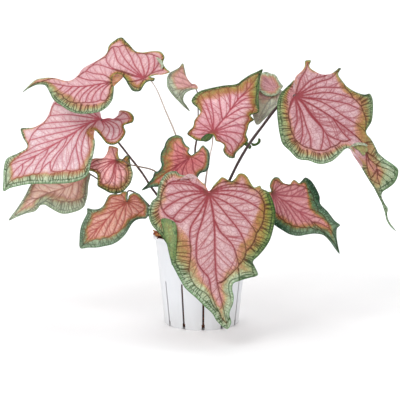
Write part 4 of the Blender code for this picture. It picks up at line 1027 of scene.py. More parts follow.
def mask_of(lines, spots, softness):
    """How far each spot is into the nearest line, 1 on its middle and 0 beside it, and its distance."""
    line_spots = np.vstack(lines)
    index, distance = nearest(tree_of(line_spots[:, :2]), spots)
    return 1 - np.clip((distance - line_spots[index, 2]) / softness, 0, 1), distance


def round_edge(drawing, spots, index, distance):
    """Where each spot lies along and across the rim, wound round a cylinder so that it has no seam."""
    ahead = np.roll(drawing.margin[:, :2], -1, axis=0) - np.roll(drawing.margin[:, :2], 1, axis=0)
    ahead /= np.linalg.norm(ahead, axis=1, keepdims=True)
    beyond = np.sum((spots - drawing.margin[index, :2]) * ahead[index], axis=1)
    along = index * MARGIN_STEP + np.clip(beyond, -1, 1)
    radius = len(drawing.margin) * MARGIN_STEP / (2 * math.pi)
    return np.column_stack((radius * np.cos(along / radius), radius * np.sin(along / radius),
                            distance * RIM_CELL_STRETCH))


def across_rim(distance, green, olive):
    """0 to 1 through the green, 1 to 2 through the olive, and then up to PINK."""
    past_green = 1 + (distance - green) / olive
    result = np.where(distance < green, distance / green,
                      np.where(past_green < 2, past_green, 2 + (distance - green - olive) / 5))
    # Where the rim is hardly there, the margin is pink too.
    result = np.maximum(result, np.clip(4.6 - 2 * (green + olive), 1 - green, PINK))
    return np.minimum(result, PINK)


def rippled(drawing, spots, seed):
    """How far the ripples of the margin lift each spot, in mm."""
    phase = np.arange(len(drawing.margin)) * MARGIN_STEP / RIPPLE_LENGTH
    wave = np.array([noise.noise((p * 1.7, seed, 0)) for p in phase])
    ripple = RIPPLE * (np.sin(2 * math.pi * phase) * 0.55 + 1.3 * wave)
    return drawing.spread(spots, ripple[:, None], 3)[:, 0]


def blade_parts(name, drawing):
    """The points in space, the triangles and the values of one blade without its flaps."""
    seed = sum(name.encode()) * 0.37
    fineness = FINENESS.get(name, 1.0)
    size = min(max(drawing.length / FULL_LENGTH, LEAST_SIZE), MOST_SIZE) * fineness
    rng = random.Random(drawing.leaf["tip"][0])
    rim = rim_widths(drawing)
    main, looped = main_veins(drawing, size, rng)
    branches = branch_lines(main, looped, size, rng)
    comb = comb_lines(drawing, main, rim)
    spots, faces = meshed(drawing, [*main, *branches, *comb])

    index, distance = nearest(drawing.margin_tree, spots)
    green, olive, pale = drawing.spread(spots, rim, 4).T
    vein, vein_distance = mask_of(main, spots, VEIN_SOFTNESS)
    branch, branch_distance = mask_of(branches, spots, BRANCH_SOFTNESS)
    drift = np.array([noise.noise((x * 0.09, y * 0.09, seed)) for x, y in spots])
    from_edge_vein = abs(distance - edge_vein(green) * (1 + 0.3 * drift))
    thread = np.clip(1.5 - from_edge_vein / 0.8, 0, 1) * np.clip(0.8 + 1.6 * drift, 0.3, 1) * (green > 2.4)
    if comb:
        thread = np.maximum(thread, mask_of(comb, spots, THREAD_SOFTNESS)[0])
    glow = np.maximum(np.exp(-vein_distance / VEIN_GLOW), 0.55 * np.exp(-branch_distance / BRANCH_GLOW))
    reach = ROSE_REACH.get(name, ROSE_USUAL)
    glow = np.maximum(glow, np.exp(-np.linalg.norm(spots, axis=1) / reach))
    relief = (SWELL * (1 - np.exp(-vein_distance / 4.5)) - VEIN_SINK * np.exp(-(vein_distance / 1.3) ** 2)
              + BRANCH_SINK * (1 - np.exp(-(branch_distance / 1.8) ** 2))
              + rippled(drawing, spots, seed) * drawing.outward(spots, distance) ** 4)
    # The painted light this leaf gets, as a share of the pale tone.
    back = np.full(len(spots), PAINTED_LIGHT_SHARES.get(name, 0))
    values = np.column_stack((vein, branch * fineness ** 2, thread, glow, across_rim(distance, green, olive),
                              pale, back, round_edge(drawing, spots, index, distance)))
    return drawing.raised(spots, relief), faces, values


print("each spot of a blade gets", len(VALUE_NAMES), "values")

# %% [markdown]
# ## Flaps
# Where the margin curls over, a flap lies a little nearer the eye than the blade, puffed up inside its
# outline. Streaks run through it, upright in most and like a fan in a few. The shade flap is painted
# shade inside a curl, and the fold's dark green is partly painted shade.

# %% Flaps
FLAP_STEP = 0.8
PUFF = 0.8
# Where on the rim's colours a flap starts, how much it gains per mm, how pale it is, how far the pale
# tone of painted light is mixed in, how strongly it is streaked, and how dark the lines in it are.
FLAP_TONES = {
    "blush": (3.4, 0.05, 0.9, 0.3, 0.3, 0.8),
    "mint": (0.5, 0.05, 0.8, 0.3, 0.3, 0.8),
    "green": (0.05, 0.05, 0.05, 0, 0.3, 0.8),
    # fold is dark green, partly the rim's own and partly painted shade.
    "fold": (0.15, 0.05, 0.15, 0, 0.35, 0.35),
    "olive": (1.5, 0.05, 0.1, 0, 0.3, 0.8),
    "cup": (0, 0.31, 1, 0.1, 0.9, 0.6),
    # shade is painted shade: the dark inside of a curled edge.
    "shade": (0.75, 0.03, 0.1, 0.15, 0.6, 0.6),
}
# These are streaked like a fan from the junction, so finely to the radian.
FANS = {"blush": 22, "cup": 10}
FAN_LENGTH = 0.03
STREAK_FINENESS = (0.5, 0.12)


def flap_parts(drawing, flap):
    """The points in space, the triangles and the values of one flap."""
    curl = Outline(drawing.flat(flap["outline"], 3), FLAP_STEP)
    spots, faces = meshed(curl, [])
    lift = curl.spread(spots, curl.margin[:, 2:3], 2)[:, 0]
    edge = nearest(curl.margin_tree, spots)[1]
    tone, rise, pale, back, streaky, lined = FLAP_TONES[flap["tone"]]
    if flap["tone"] in FANS:
        around = np.arctan2(spots[:, 1], spots[:, 0]) * FANS[flap["tone"]]
        along = np.column_stack((around, spots[:, 1] * FAN_LENGTH))
    else:
        along = spots * STREAK_FINENESS
    streak = np.array([noise.noise((x, y, 3)) for x, y in along])
    nothing = np.zeros(len(spots))
    values = np.column_stack((nothing, nothing, np.clip(streak * 3, 0, lined), nothing,
                              tone + streaky * streak + rise * edge, nothing + pale, nothing + back,
                              spots * 0.6, nothing))
    return drawing.raised(spots, SWELL + lift + PUFF * (1 - np.exp(-edge / 1.5))), faces, values


print("flaps:", {name: len(drawing.leaf["flaps"]) for name, drawing in drawings.items()})

# %% [markdown]
# ## Blades
# Each blade is one mesh with its flaps in it. A Solidify modifier gives it the thickness of a real
# blade, and marks the new underside as a second material.

# %% Blades
BLADE_THICKNESS = 0.55 * MM


def select_only(piece):
    """Selects one object and makes it the active one."""
    bpy.ops.object.select_all(action="DESELECT")
    piece.select_set(True)
    bpy.context.view_layer.objects.active = piece


def add_mesh(name, points, faces):
    """A new object with this mesh, smooth all over, and the only one selected."""
    mesh = bpy.data.meshes.new(name)
    mesh.from_pydata([tuple(point) for point in points], [], faces)
    made = bpy.data.objects.new(name, mesh)
    bpy.context.scene.collection.objects.link(made)
    select_only(made)
    bpy.ops.object.shade_smooth()
    return made


def store(piece, name, values, kind="FLOAT", field="value"):
    """Keeps a value for each point of a piece. Its material reads it by name."""
    attribute = piece.data.attributes.new(name, kind, "POINT")
    attribute.data.foreach_set(field, np.asarray(values, np.float32).ravel())


def finish_piece(piece):
    """Applies a piece's modifiers and lets it ride on the body."""
    bpy.context.view_layer.objects.active = piece
    for modifier in list(piece.modifiers):
        bpy.ops.object.modifier_apply(modifier=modifier.name)
    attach(piece, "root")


blades = {}
for name, drawing in drawings.items():
    points, faces, values = blade_parts(name, drawing)
    for flap in drawing.leaf["flaps"]:
        flap_points, flap_faces, flap_values = flap_parts(drawing, flap)
        faces += [tuple(index + len(points) for index in face) for face in flap_faces]
        points = np.vstack((points, flap_points))
        values = np.vstack((values, flap_values))
    blade = add_mesh("leaf_" + name + "_blade", points, faces)
    for column, value_name in enumerate(VALUE_NAMES):
        store(blade, value_name, values[:, column])
    store(blade, "round_edge", values[:, len(VALUE_NAMES):], "FLOAT_VECTOR", "vector")
    solid = blade.modifiers.new("thickness", "SOLIDIFY")
    solid.thickness = BLADE_THICKNESS
    solid.offset = 0
    solid.use_even_offset = False
    solid.material_offset = 1
    finish_piece(blade)
    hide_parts("leaf_" + name)
    blades[name] = blade
print("faces in each blade:", {name: len(blade.data.polygons) for name, blade in blades.items()})

# %% [markdown]
# ## Leaf tissue
# A caladium blade is thin living tissue with a satin skin. Its upper side is pink between red veins.
# The rim runs from salmon through olive to green, which is bottle dark in some stretches and mint in
# others. Noise frays the borders. Cells of a few millimetres stand for the smallest veins, whose real
# net is too fine to show. The underside is the same drawing, paler and duller, because it is seen
# through a waxy skin.

# %% Leaf tones
# The rim's colours from the margin inward, where they are dark, pale, and dark with a bluer green.
DARK_RIM = [(0.00, "#44662A"), (0.03, "#365A20"), (0.08, "#68883A"), (0.17, "#8A9A48"), (0.27, "#9C9C44"),
            (0.36, "#A28E3E"), (0.47, "#AA7E40"), (0.58, "#BA8056"), (0.68, "#C48A6E"), (0.80, "#CC9890")]
PALE_RIM = [(0.00, "#648A5A"), (0.03, "#93B48B"), (0.09, "#C8DABD"), (0.24, "#C4D3B0"),
            (0.36, "#BEB98C"), (0.48, "#C4A07A"), (0.60, "#CC9480"), (0.70, "#D09A8E"), (0.80, "#D4A29E")]
TEAL_RIM = [(0.00, "#28563A"), (0.03, "#1C4630"), (0.12, "#366648"), (0.24, "#507C58"),
            (0.35, "#6B7F48"), (0.44, "#967A40"), (0.55, "#BA7850"), (0.66, "#C8866E"), (0.80, "#CF9690")]
# Ground, deeper ground, halo along the veins, and vein.
TONES = {
    "front": ("#D6BCBE", "#C9A5A8", "#B25A63", "#8E2F38"),
    "big_right": ("#D4B8BC", "#C5A0A5", "#AE5760", "#8A2C36"),
    "big_left": ("#EBDDDF", "#E0C8CC", "#CA8692", "#AE4A56"),
    "high_left": ("#E3C7CA", "#D6B1B5", "#C07680", "#A03C48"),
    # low_left is pale orange-pink, and its tones are lifted nearly to white as painted light, since big_left
    # shades it.
    "low_left": ("#FFF0E4", "#FBDFCC", "#E8B7A2", "#C2806E"),
    "small_left": ("#F8D8D6", "#F0C2BE", "#D28284", "#9A363F"),
    "bottom_left": ("#E2C2B4", "#D4A894", "#C67868", "#A04440"),
    "centre_red": ("#D89896", "#CC7E7C", "#B84E56", "#862A36"),
    "upright": ("#EED8DA", "#E4C0C6", "#C86878", "#A43E4A"),
    "back_right": ("#CF9CA0", "#C08488", "#B0606A", "#8C3A48"),
    "low_right": ("#DCB0B2", "#CE989A", "#BA6A72", "#9C4852"),
    "far_back": ("#E8B8B6", "#DDA5A2", "#C87A78", "#A8585C"),
}
# Veins in the green, in pale green, in the olive, and in the olive of the leaves with a soft edge.
EDGE_VEINS = ("#14260A", "#2C4A1C", "#54280F", "#8C4A30")
SOFT_LEAVES = ("upright", "back_right", "bottom_left", "centre_red", "far_back", "big_left", "low_left")
TEAL_LEAVES = ("bottom_left", "low_right", "centre_red")
SPECK_TONE = "#B9CDB9"
# The pale tone of painted light on leaves that lie in the shade of others.
PAINTED_LIGHT_TONE = "#E8E2DC"
WAX_TONE = "#D9C7C2"
# How clearly the net of small veins shows. It is faint in the leaves that are not named.
NETS = {"front": 0.36, "big_right": 0.42, "big_left": 0.26, "small_left": 0.3}
FAINT_NET = 0.20
print(len(TONES), "leaf tones")

# %% [markdown]
# ## Leaf material
# The rim's colours and the pink ground come first, then the glow beside the veins, the fine net, the
# specks of the bluer rims, and the veins, whose colour follows the rim too. Last comes painted light: a
# pale tone lifts leaves that lie in the shade of others. The gloss varies with the skin's grain.

# %% Leaf material
# Real sizes of the patterns. STRAY is how far the grain moves the cells about. RIM_CELLS is in mm of
# the flat drawing.
CLOUDS, GRAIN, CELLS, WIDE_CELLS, SPECKS = 11 * MM, 2.4 * MM, 3.4 * MM, 7.5 * MM, 2.6 * MM
STRAY = 1.6 * MM
RIM_CELLS = 4.4
UNDERSIDE = 0.35


def blade_material(name, tones, teal, soft, net_strength, under):
    """Leaf tissue. under is how far the side is from the bright upper skin.

    teal asks for a bluer green with pale specks, and soft for lighter veins in the olive.
    """
    made, shader, add = new_material(name, {
        "Specular IOR Level": 0.28, "Subsurface Weight": 0.25, "Subsurface Radius": (1.0, 0.8, 0.5),
        "Subsurface Scale": 1 * MM})
    value = {key: add("Attribute", attribute_name=key).outputs["Fac"] for key in VALUE_NAMES}
    winding = add("Attribute", attribute_name="round_edge").outputs["Vector"]
    where = add("TexCoord").outputs["Object"]
    clouds = add("TexNoise", {"Vector": where, "Scale": 1 / CLOUDS, "Detail": 4})
    grain = add("TexNoise", {"Vector": where, "Scale": 1 / GRAIN, "Detail": 3})
    strayed = add("VectorMath", [grain.outputs["Color"], (STRAY,) * 3, where], operation="MULTIPLY_ADD")
    cells, wide_cells, rim_cells = (
        add("TexVoronoi", {"Vector": spot, "Scale": 1 / size}, feature="DISTANCE_TO_EDGE")
        for spot, size in ((strayed, CELLS), (strayed, WIDE_CELLS), (winding, RIM_CELLS)))
    net = add("MapRange", [cells, 0.02, 0.13, 1, 0])
    wide_net = add("MapRange", [wide_cells, 0.01, 0.09, net_strength, 0])
    rim_net = add("MapRange", [rim_cells, 0.03, 0.19, 0.25 if teal else 0.42, 0])
    # Clouds and grain shift the rim's colours to and fro. Both are 0.5 on average, which -1.05 makes up
    # for. The shift fades out towards the margin, which stays crisp.
    shift = add("Math", [clouds, 1.3, -1.05], operation="MULTIPLY_ADD")
    shift = add("Math", [grain, 0.8, shift], operation="MULTIPLY_ADD")
    hold = add("Math", [value["rim"], 1], operation="MINIMUM")
    rim = add("Math", [shift, hold, value["rim"]], operation="MULTIPLY_ADD")
    third = add("Math", [rim, 3], operation="DIVIDE", use_clamp=True)
    dark = add("ValToRGB", [third], stops=TEAL_RIM if teal else DARK_RIM)
    pale = add("ValToRGB", [third], stops=PALE_RIM)
    edge = add("Mix", [value["pale"], dark, pale])

    ground, deep, halo, vein = tones
    inner = add("Mix", [add("MapRange", [clouds, 0.35, 0.65]), ground, deep])
    glow = add("Math", [value["glow"], 0.8], operation="MULTIPLY")
    inner = add("Mix", [glow, inner, halo])
    skin = add("Mix", [add("MapRange", [rim, 1.6, 2.9]), edge, inner])
    faint = add("Math", [net, 0.3], operation="MULTIPLY")
    skin = add("Mix", [faint, skin, halo], blend_type="MULTIPLY")
    if teal:
        dots = add("TexVoronoi", {"Vector": where, "Scale": 1 / SPECKS})
        speck = add("Math", [add("MapRange", [dots, 0.14, 0.30, 0.55, 0]),
                             add("MapRange", [rim, 0.9, 1.4, 1, 0])], operation="MULTIPLY")
        skin = add("Mix", [speck, skin, SPECK_TONE])

    in_green, in_pale, in_olive, in_soft = EDGE_VEINS
    in_green = add("Mix", [value["pale"], in_green, in_pale])
    in_rim = add("Mix", [add("MapRange", [rim, 0.5, 1.2]), in_green, in_soft if soft else in_olive])
    vein_colour = add("Mix", [add("MapRange", [rim, 1.5, 3.3]), in_rim, vein])
    lines = 0
    for layer, strength in ((value["vein"], 0.95), (value["branch"], 0.70), (wide_net, 1),
                            (value["thread"], 0.7 if teal else 0.95),
                            (rim_net, add("MapRange", [rim, 0.9, 2.2, 1, 0]))):
        layer = add("Math", [layer, strength], operation="MULTIPLY")
        lines = add("Math", [lines, layer], operation="MAXIMUM")
    skin = add("Mix", [lines, skin, vein_colour])
    # Painted light: a pale tone lifts leaves that lie in the shade of others.
    painted_light = add("Math", [value["back"], 0.5], operation="MULTIPLY")
    skin = add("Mix", [painted_light, skin, PAINTED_LIGHT_TONE])
    if under:
        skin = add("Mix", [under, skin, WAX_TONE])
    gloss = add("MapRange", [grain, 0.3, 0.7, 0.34 + 0.2 * under, 0.50 + 0.2 * under])
    height = add("Math", [net, -0.5, grain], operation="MULTIPLY_ADD")
    bump = add("Bump", {"Height": height, "Strength": 0.25, "Distance": 0.3 * MM})
    set_inputs(shader, {"Base Color": skin, "Roughness": gloss, "Normal": bump})
    return made


for name, blade in blades.items():
    kind = (TONES[name], name in TEAL_LEAVES, name in SOFT_LEAVES, NETS.get(name, FAINT_NET))
    blade.data.materials.append(blade_material(name + " leaf tissue, upper skin", *kind, 0))
    blade.data.materials.append(blade_material(name + " leaf tissue, underside", *kind, UNDERSIDE))
    print(name, "has", len(blade.data.materials), "materials")

# %% [markdown]
# ## Stalks
# Each leaf is held by its own stalk, a smooth juicy tube that thins towards the blade. It passes the
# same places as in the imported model.
#
# - top: radius at the blade, in mm.
# - seat: where it stands on the corm, as a distance from the middle in mm and a direction in degrees.
# - route: places in the picture, with the Y of each in mm.
# - side: 1 for the one that meets its blade from the front.

# %% Stalk routes
STALKS = {
    "high_left": dict(top=0.5, seat=(5.0, 120), route=[
        (149.5, 79.4, 2), (155.5, 87, 5), (166, 111.5, 9), (175.5, 134, 10), (186, 170, 8), (195, 205, 4)]),
    "big_left": dict(top=1.1, seat=(11.5, 172), route=[
        (107, 128, 6), (118.3, 142, 2), (127.7, 154, -2), (134.8, 163, -4), (142.9, 173.8, -4),
        (152.7, 188.9, -3), (170, 210, 0), (186, 226, 0)]),
    "low_left": dict(top=0.9, seat=(11.5, 135), route=[
        (98, 179, 28), (113.5, 191.8, 26), (130, 204, 20), (147, 214, 14), (165, 223, 9), (182, 230, 6)]),
    "small_left": dict(top=0.6, side=1, seat=(11.5, 206), route=[
        (121.4, 158.9, -15), (128.6, 163.7, -14), (139.5, 166.3, -9), (155, 171, -6), (171, 190, -4),
        (184, 214, -5)]),
    "bottom_left": dict(top=0.9, seat=(11.5, 240), route=[
        (126.9, 197, -13), (128.5, 190.5, -4), (136, 193, 2), (156, 212, -2), (176, 227, -6)]),
    "centre_red": dict(top=0.9, seat=(5.0, 240), route=[
        (193, 168, -8), (196, 190, -4), (199, 215, -1)]),
    "upright": dict(top=0.7, seat=(5.0, 0), route=[
        (212.9, 136.5, 21), (212, 146, 17), (210.1, 153.7, 12), (206.3, 176.1, 4), (203.5, 205, 3)]),
    "back_right": dict(top=0.8, seat=(11.5, 50), route=[
        (273, 108, 62), (263, 125, 54), (249, 144, 42), (237.5, 163.5, 30), (222, 195, 16), (210, 219, 8)]),
    "big_right": dict(top=2.0, seat=(11.5, 8), route=[
        (287, 99, 4), (277, 107, 0), (263, 125, -6), (249, 144, -10), (237.5, 163.5, -9), (229, 181, -8),
        (216, 208, -4)]),
    "front": dict(top=1.1, seat=(11.5, 280), route=[
        (208.5, 192, -58), (206.5, 198, -42), (204.5, 212, -24)]),
    "low_right": dict(top=1.0, seat=(11.5, 324), route=[
        (268, 193, -16), (255, 194, -12), (238, 203, -8), (222, 217, -6), (211, 228, -6)]),
    "far_back": dict(top=0.7, seat=(11.5, 95), route=[
        (197, 91, 132), (198, 106, 130), (198, 122, 100), (196.4, 140.4, 70), (195.1, 149.6, 62),
        (197, 190, 30), (200, 215, 15)]),
}
print(len(STALKS), "stalk routes")

# %% [markdown]
# ## Stalk tubes
# A stalk is drawn as a curve with a round bevel and then turned into a mesh. It flares where it joins
# the blade and comes down upright on the corm.

# %% Stalk tubes
CORM_Z = 116.5
CORM_RADIUS = 17.5
CORM_HALF_HEIGHT = 7.0
STALK_STEP = 2.0
STALK_FOOT_RADIUS = 1.9
# A stalk's last stretch goes straight down from this far above the corm and ends this far inside it.
FOOT_RISE, FOOT_DEPTH = 10.0, 1.0


def seat_on_corm(distance, direction):
    """The point on top of the corm at a distance and direction from its middle, in metres."""
    angle = math.radians(direction)
    height = CORM_HALF_HEIGHT * math.sqrt(1 - (distance / CORM_RADIUS) ** 2)
    return MM * np.array((distance * math.cos(angle), distance * math.sin(angle), CORM_Z + height))


def stalk_line(name, seat, route, side=-1, **_):
    """Even points from the blade down to the corm, in metres."""
    drawing = drawings[name]
    head = drawing.origin + side * drawing.normal * BLADE_THICKNESS
    foot = seat_on_corm(*seat)
    knots = np.array([head, *(place(x, y, depth * MM) for x, y, depth in route),
                      foot + np.array((0, 0, FOOT_RISE)) * MM, foot - np.array((0, 0, FOOT_DEPTH)) * MM])
    return smooth_line(knots / MM, STALK_STEP, places=3) * MM


def stalk_radius(top, count):
    """The radius at each point of a stalk, in mm."""
    share = np.linspace(0, 1, count)
    flare = 1 + 0.9 * np.exp(-share * count / 1.5)
    swell = 1 + 0.04 * np.sin(share * count * 0.35)
    return (top + (STALK_FOOT_RADIUS - top) * share ** 0.8) * flare * swell


stalks = {}
for name, entry in STALKS.items():
    line = stalk_line(name, **entry)
    bpy.ops.object.select_all(action="DESELECT")
    bpy.ops.curve.primitive_nurbs_path_add(location=(0, 0, 0))
    curve = bpy.context.object
    curve.name = "stalk_" + name + "_tube"
    curve.data.splines.clear()
    spline = curve.data.splines.new("POLY")
    spline.points.add(len(line) - 1)
    spline.points.foreach_set("co", np.column_stack((line, np.ones(len(line)))).ravel())
    spline.points.foreach_set("radius", stalk_radius(entry["top"], len(line)))
    curve.data.bevel_depth = MM
    curve.data.bevel_resolution = 4
    curve.data.use_fill_caps = True
    curve.data.dimensions = "3D"
    bpy.ops.object.convert(target="MESH")
    stalk = bpy.context.object
    bpy.ops.object.mode_set(mode="EDIT")
    bpy.ops.mesh.select_all(action="SELECT")
    bpy.ops.mesh.remove_doubles(threshold=1e-6)
    bpy.ops.mesh.normals_make_consistent(inside=False)
    bpy.ops.object.mode_set(mode="OBJECT")
    bpy.ops.object.shade_smooth()
    tree = tree_of(line)
    store(stalk, "height", [tree.find(vertex.co)[1] / (len(line) - 1) for vertex in stalk.data.vertices])
    finish_piece(stalk)
    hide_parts("stalk_" + name)
    stalks[name] = stalk
print("faces in each stalk:", {name: len(stalk.data.polygons) for name, stalk in stalks.items()})

# %% [markdown]
# ## Stalk skin
# A caladium's stalk has a thin glossy skin over watery flesh. Most are dark brown, with fine streaks
# that run their length and small paler flecks. Some catch the light and are paler near the blade, and
# the front leaf's reddens there.

# %% Stalk skin
# Colour at the blade and at the foot.
STALK_TONES = {
    "high_left": ("#C6B8AE", "#94806F"),
    "small_left": ("#5E5038", "#C0A8A0"),
    "front": ("#A8525A", "#3A2526"),
    "upright": ("#E6DED8", "#C4B4AC"),
    "big_right": ("#38201E", "#2C1E20"),
    "back_right": ("#5A3E38", "#2C1E20"),
}
USUAL_STALK = ("#4E3230", "#3A2526")
FLECK_TONE = "#8C6A60"
FLECKS = 1.2 * MM


def stalk_material(name, top, foot):
    """The glossy skin of one stalk, from its colour at the blade to the one at its foot."""
    made, shader, add = new_material(name, {"Roughness": 0.32, "Specular IOR Level": 0.5})
    height = add("Attribute", attribute_name="height").outputs["Fac"]
    where = add("TexCoord").outputs["Object"]
    streaks = add("Mapping", {"Vector": where, "Scale": (1, 1, 0.15)})
    fleck = add("TexNoise", {"Vector": streaks, "Scale": 1 / FLECKS, "Detail": 4})
    skin = add("Mix", [height, top, foot])
    light = add("MapRange", [fleck, 0.55, 0.75, 0, 0.45])
    skin = add("Mix", [light, skin, FLECK_TONE])
    bump = add("Bump", {"Height": fleck, "Strength": 0.2, "Distance": 0.2 * MM})
    set_inputs(shader, {"Base Color": skin, "Normal": bump})
    return made


for name, stalk in stalks.items():
    stalk.data.materials.append(stalk_material(name + " stalk skin", *STALK_TONES.get(name, USUAL_STALK)))
print(len(stalks), "stalk skins")

# %% [markdown]
# ## Nursery pot
# The pot is one thin injection moulding in white polypropylene: a tapered wall, a rolled rim, and
# twelve slits that start at the drain notches round its foot. It starts as a disc. The disc's face is
# extruded up and scaled again and again, first up the outside, over the rim, and then down the inside
# to the floor. One Boolean cuts the slits, and a second one the wider notches.

# %% Pot
POT_SIDES = 144
# Radius and height of each ring, in millimetres, from the foot over the rim to the inner floor.
POT_RINGS = [(49.4, 0.0), (50.0, 0.7), (50.15, 1.6), (62.0, 114.6), (62.4, 115.2), (64.2, 115.2),
             (64.8, 115.5), (65.0, 116.2), (65.0, 118.6), (64.7, 119.5), (64.0, 120.0), (63.0, 120.0),
             (62.2, 119.6), (61.7, 118.8), (61.0, 116.0), (60.2, 114.0), (48.6, 3.0), (47.6, 2.2)]
SLIT_COUNT = 12
SLIT_TURN = math.radians(2.5)
# Width and top of the cuts, in millimetres.
CUTS = {"slit_cutter": (2.6, 62.0), "drain_cutter": (4.2, 8.0)}
# Each cut is a box of this depth at this distance from the axis, and starts so far below the floor.
CUT_DEPTH, CUT_DISTANCE, CUT_BELOW = 24, 55, 5


def solid_of_rings(name, sides, rings):
    """A disc pulled through rings of radius and height, in mm, the only object selected."""
    (radius, height), *further = rings
    bpy.ops.object.select_all(action="DESELECT")
    bpy.ops.mesh.primitive_circle_add(vertices=sides, radius=radius * MM, fill_type="NGON",
                                      location=(0, 0, height * MM))
    made = bpy.context.object
    made.name = name
    bpy.ops.object.transform_apply()
    bpy.ops.object.mode_set(mode="EDIT")
    bpy.ops.mesh.select_all(action="SELECT")
    for next_radius, next_height in further:
        bpy.ops.mesh.extrude_region_move(
            TRANSFORM_OT_translate={"value": (0, 0, (next_height - height) * MM)})
        scale = next_radius / radius
        bpy.ops.transform.resize(value=(scale, scale, 1), center_override=(0, 0, next_height * MM))
        radius, height = next_radius, next_height
    bpy.ops.mesh.select_all(action="SELECT")
    bpy.ops.mesh.normals_make_consistent(inside=False)
    bpy.ops.object.mode_set(mode="OBJECT")
    return made


def slit_cutter(name, width, top):
    """One object with a box through the wall at each slit."""
    boxes = []
    for i in range(SLIT_COUNT):
        angle = 2 * math.pi * i / SLIT_COUNT - math.pi / 2 + SLIT_TURN
        middle = Vector((CUT_DISTANCE * math.cos(angle), CUT_DISTANCE * math.sin(angle),
                         (top - CUT_BELOW) / 2)) * MM
        bpy.ops.object.select_all(action="DESELECT")
        bpy.ops.mesh.primitive_cube_add(size=1, location=middle, rotation=(0, 0, angle),
                                        scale=(CUT_DEPTH * MM, width * MM, (top + CUT_BELOW) * MM))
        boxes.append(bpy.context.object)
    for box in boxes:
        box.select_set(True)
    bpy.ops.object.join()
    made = bpy.context.object
    made.name = name
    bpy.ops.object.transform_apply()
    return made


pot = solid_of_rings("pot_shell", POT_SIDES, POT_RINGS)
for name, (width, top) in CUTS.items():
    cutter = slit_cutter(name, width, top)
    cut = pot.modifiers.new("cut", "BOOLEAN")
    cut.object = cutter
    cut.solver = "EXACT"
    select_only(pot)
    bpy.ops.object.modifier_apply(modifier=cut.name)
    bpy.data.objects.remove(cutter)
soften = pot.modifiers.new("soft moulded edges", "BEVEL")
soften.width = 0.3 * MM
soften.segments = 2
soften.limit_method = "ANGLE"
soften.angle_limit = math.radians(50)
bpy.ops.object.modifier_apply(modifier=soften.name)
bpy.ops.object.shade_smooth_by_angle(angle=math.radians(35))
finish_piece(pot)
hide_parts("pot")
print("pot has", len(pot.data.polygons), "faces")

# %% [markdown]
# ## Polypropylene
# White polypropylene is slightly waxy. Moulding leaves a very fine texture and faint flow marks, and
# the pot turns a little warmer grey towards its foot.

# %% Polypropylene
FLOW_MARKS, GRIT = 16 * MM, 0.8 * MM
GREYING_TOP = 45 * MM
made, shader, add = new_material("white moulded polypropylene", {"Specular IOR Level": 0.5})
where = add("TexCoord").outputs["Object"]
flow = add("Mapping", {"Vector": where, "Scale": (1, 1, 0.25)})
marks = add("TexNoise", {"Vector": flow, "Scale": 1 / FLOW_MARKS, "Detail": 5})
grit = add("TexNoise", {"Vector": where, "Scale": 1 / GRIT, "Detail": 2})
base = add("Mix", [marks, "#E9EBEE", "#DEE1E6"])
# Warmer grey towards the foot, in patches that follow the flow marks.
height = add("SeparateXYZ", [where]).outputs["Z"]
low_down = add("MapRange", [height, 0, GREYING_TOP, 0.5, 0])
greyed_low = add("Math", [low_down, marks], operation="MULTIPLY")
base = add("Mix", [greyed_low, base, "#B9B3A8"])
gloss = add("MapRange", [marks, 0, 1, 0.30, 0.48])
bump = add("Bump", {"Height": grit, "Strength": 0.12, "Distance": 0.1 * MM})
set_inputs(shader, {"Base Color": base, "Roughness": gloss, "Normal": bump})
pot.data.materials.append(made)
print(made.name)

# %% [markdown]
# ## Bark filling
# The plant grows in potting bark: loose chips with flat, broken faces, from tan to dark red-brown. A
# lumpy body fills the pot, and shows in the slits. It starts as a disc too, pulled up through rings to
# the bark's surface and inward to the dip for the corm.

# %% Bark filling
BARK_SIDES = 96
BARK_RINGS = [(46.8, 2.6), (47.6, 4.0), (60.0, 111.5), (59.2, 114.6), (56.0, 115.6), (50.0, 115.9),
              (40.0, 116.2), (30.0, 116.3), (22.0, 115.2), (18.6, 113.0), (14.0, 110.6), (8.0, 109.4),
              (3.0, 109.2)]
# Below this height a spot belongs to the side, which is dented. Above it the top is lumpy.
BARK_SIDE_TOP = 112
bark = solid_of_rings("bark_fill", BARK_SIDES, BARK_RINGS)
shell = bmesh.new()
shell.from_mesh(bark.data)
upright_edges = [edge for edge in shell.edges
                 if edge.calc_length() > 20 * MM and len(edge.link_faces[0].verts) == 4]
bmesh.ops.subdivide_edges(shell, edges=upright_edges, cuts=34, use_grid_fill=False)
for vertex in shell.verts:
    spot = vertex.co / MM
    lump = noise.noise(spot / 5.0) * 0.9 + noise.noise(spot / 2.2) * 0.4
    if spot.z < BARK_SIDE_TOP:
        vertex.co -= Vector((spot.x, spot.y, 0)).normalized() * (0.6 - lump * 0.5) * MM
    else:
        vertex.co.z += lump * 1.1 * MM
shell.to_mesh(bark.data)
shell.free()
print("filling has", len(bark.data.polygons), "faces")

# %% [markdown]
# ## Bark chips
# Chips lie over the top of the filling, and are heaped up at the front left. Each is a box with its
# edges cut and its corners shifted, turned and scaled, and pushed partly down.

# %% Bark chips
SOIL_TOP = 115.5
CHIP_COUNT = 300
HEAP_DIRECTION = math.radians(203)
HEAP_HEIGHT = 13.0
LARGE_SHARE, HEAPED_SHARE = 0.35, 0.22
FILLING_TINT = 0.15
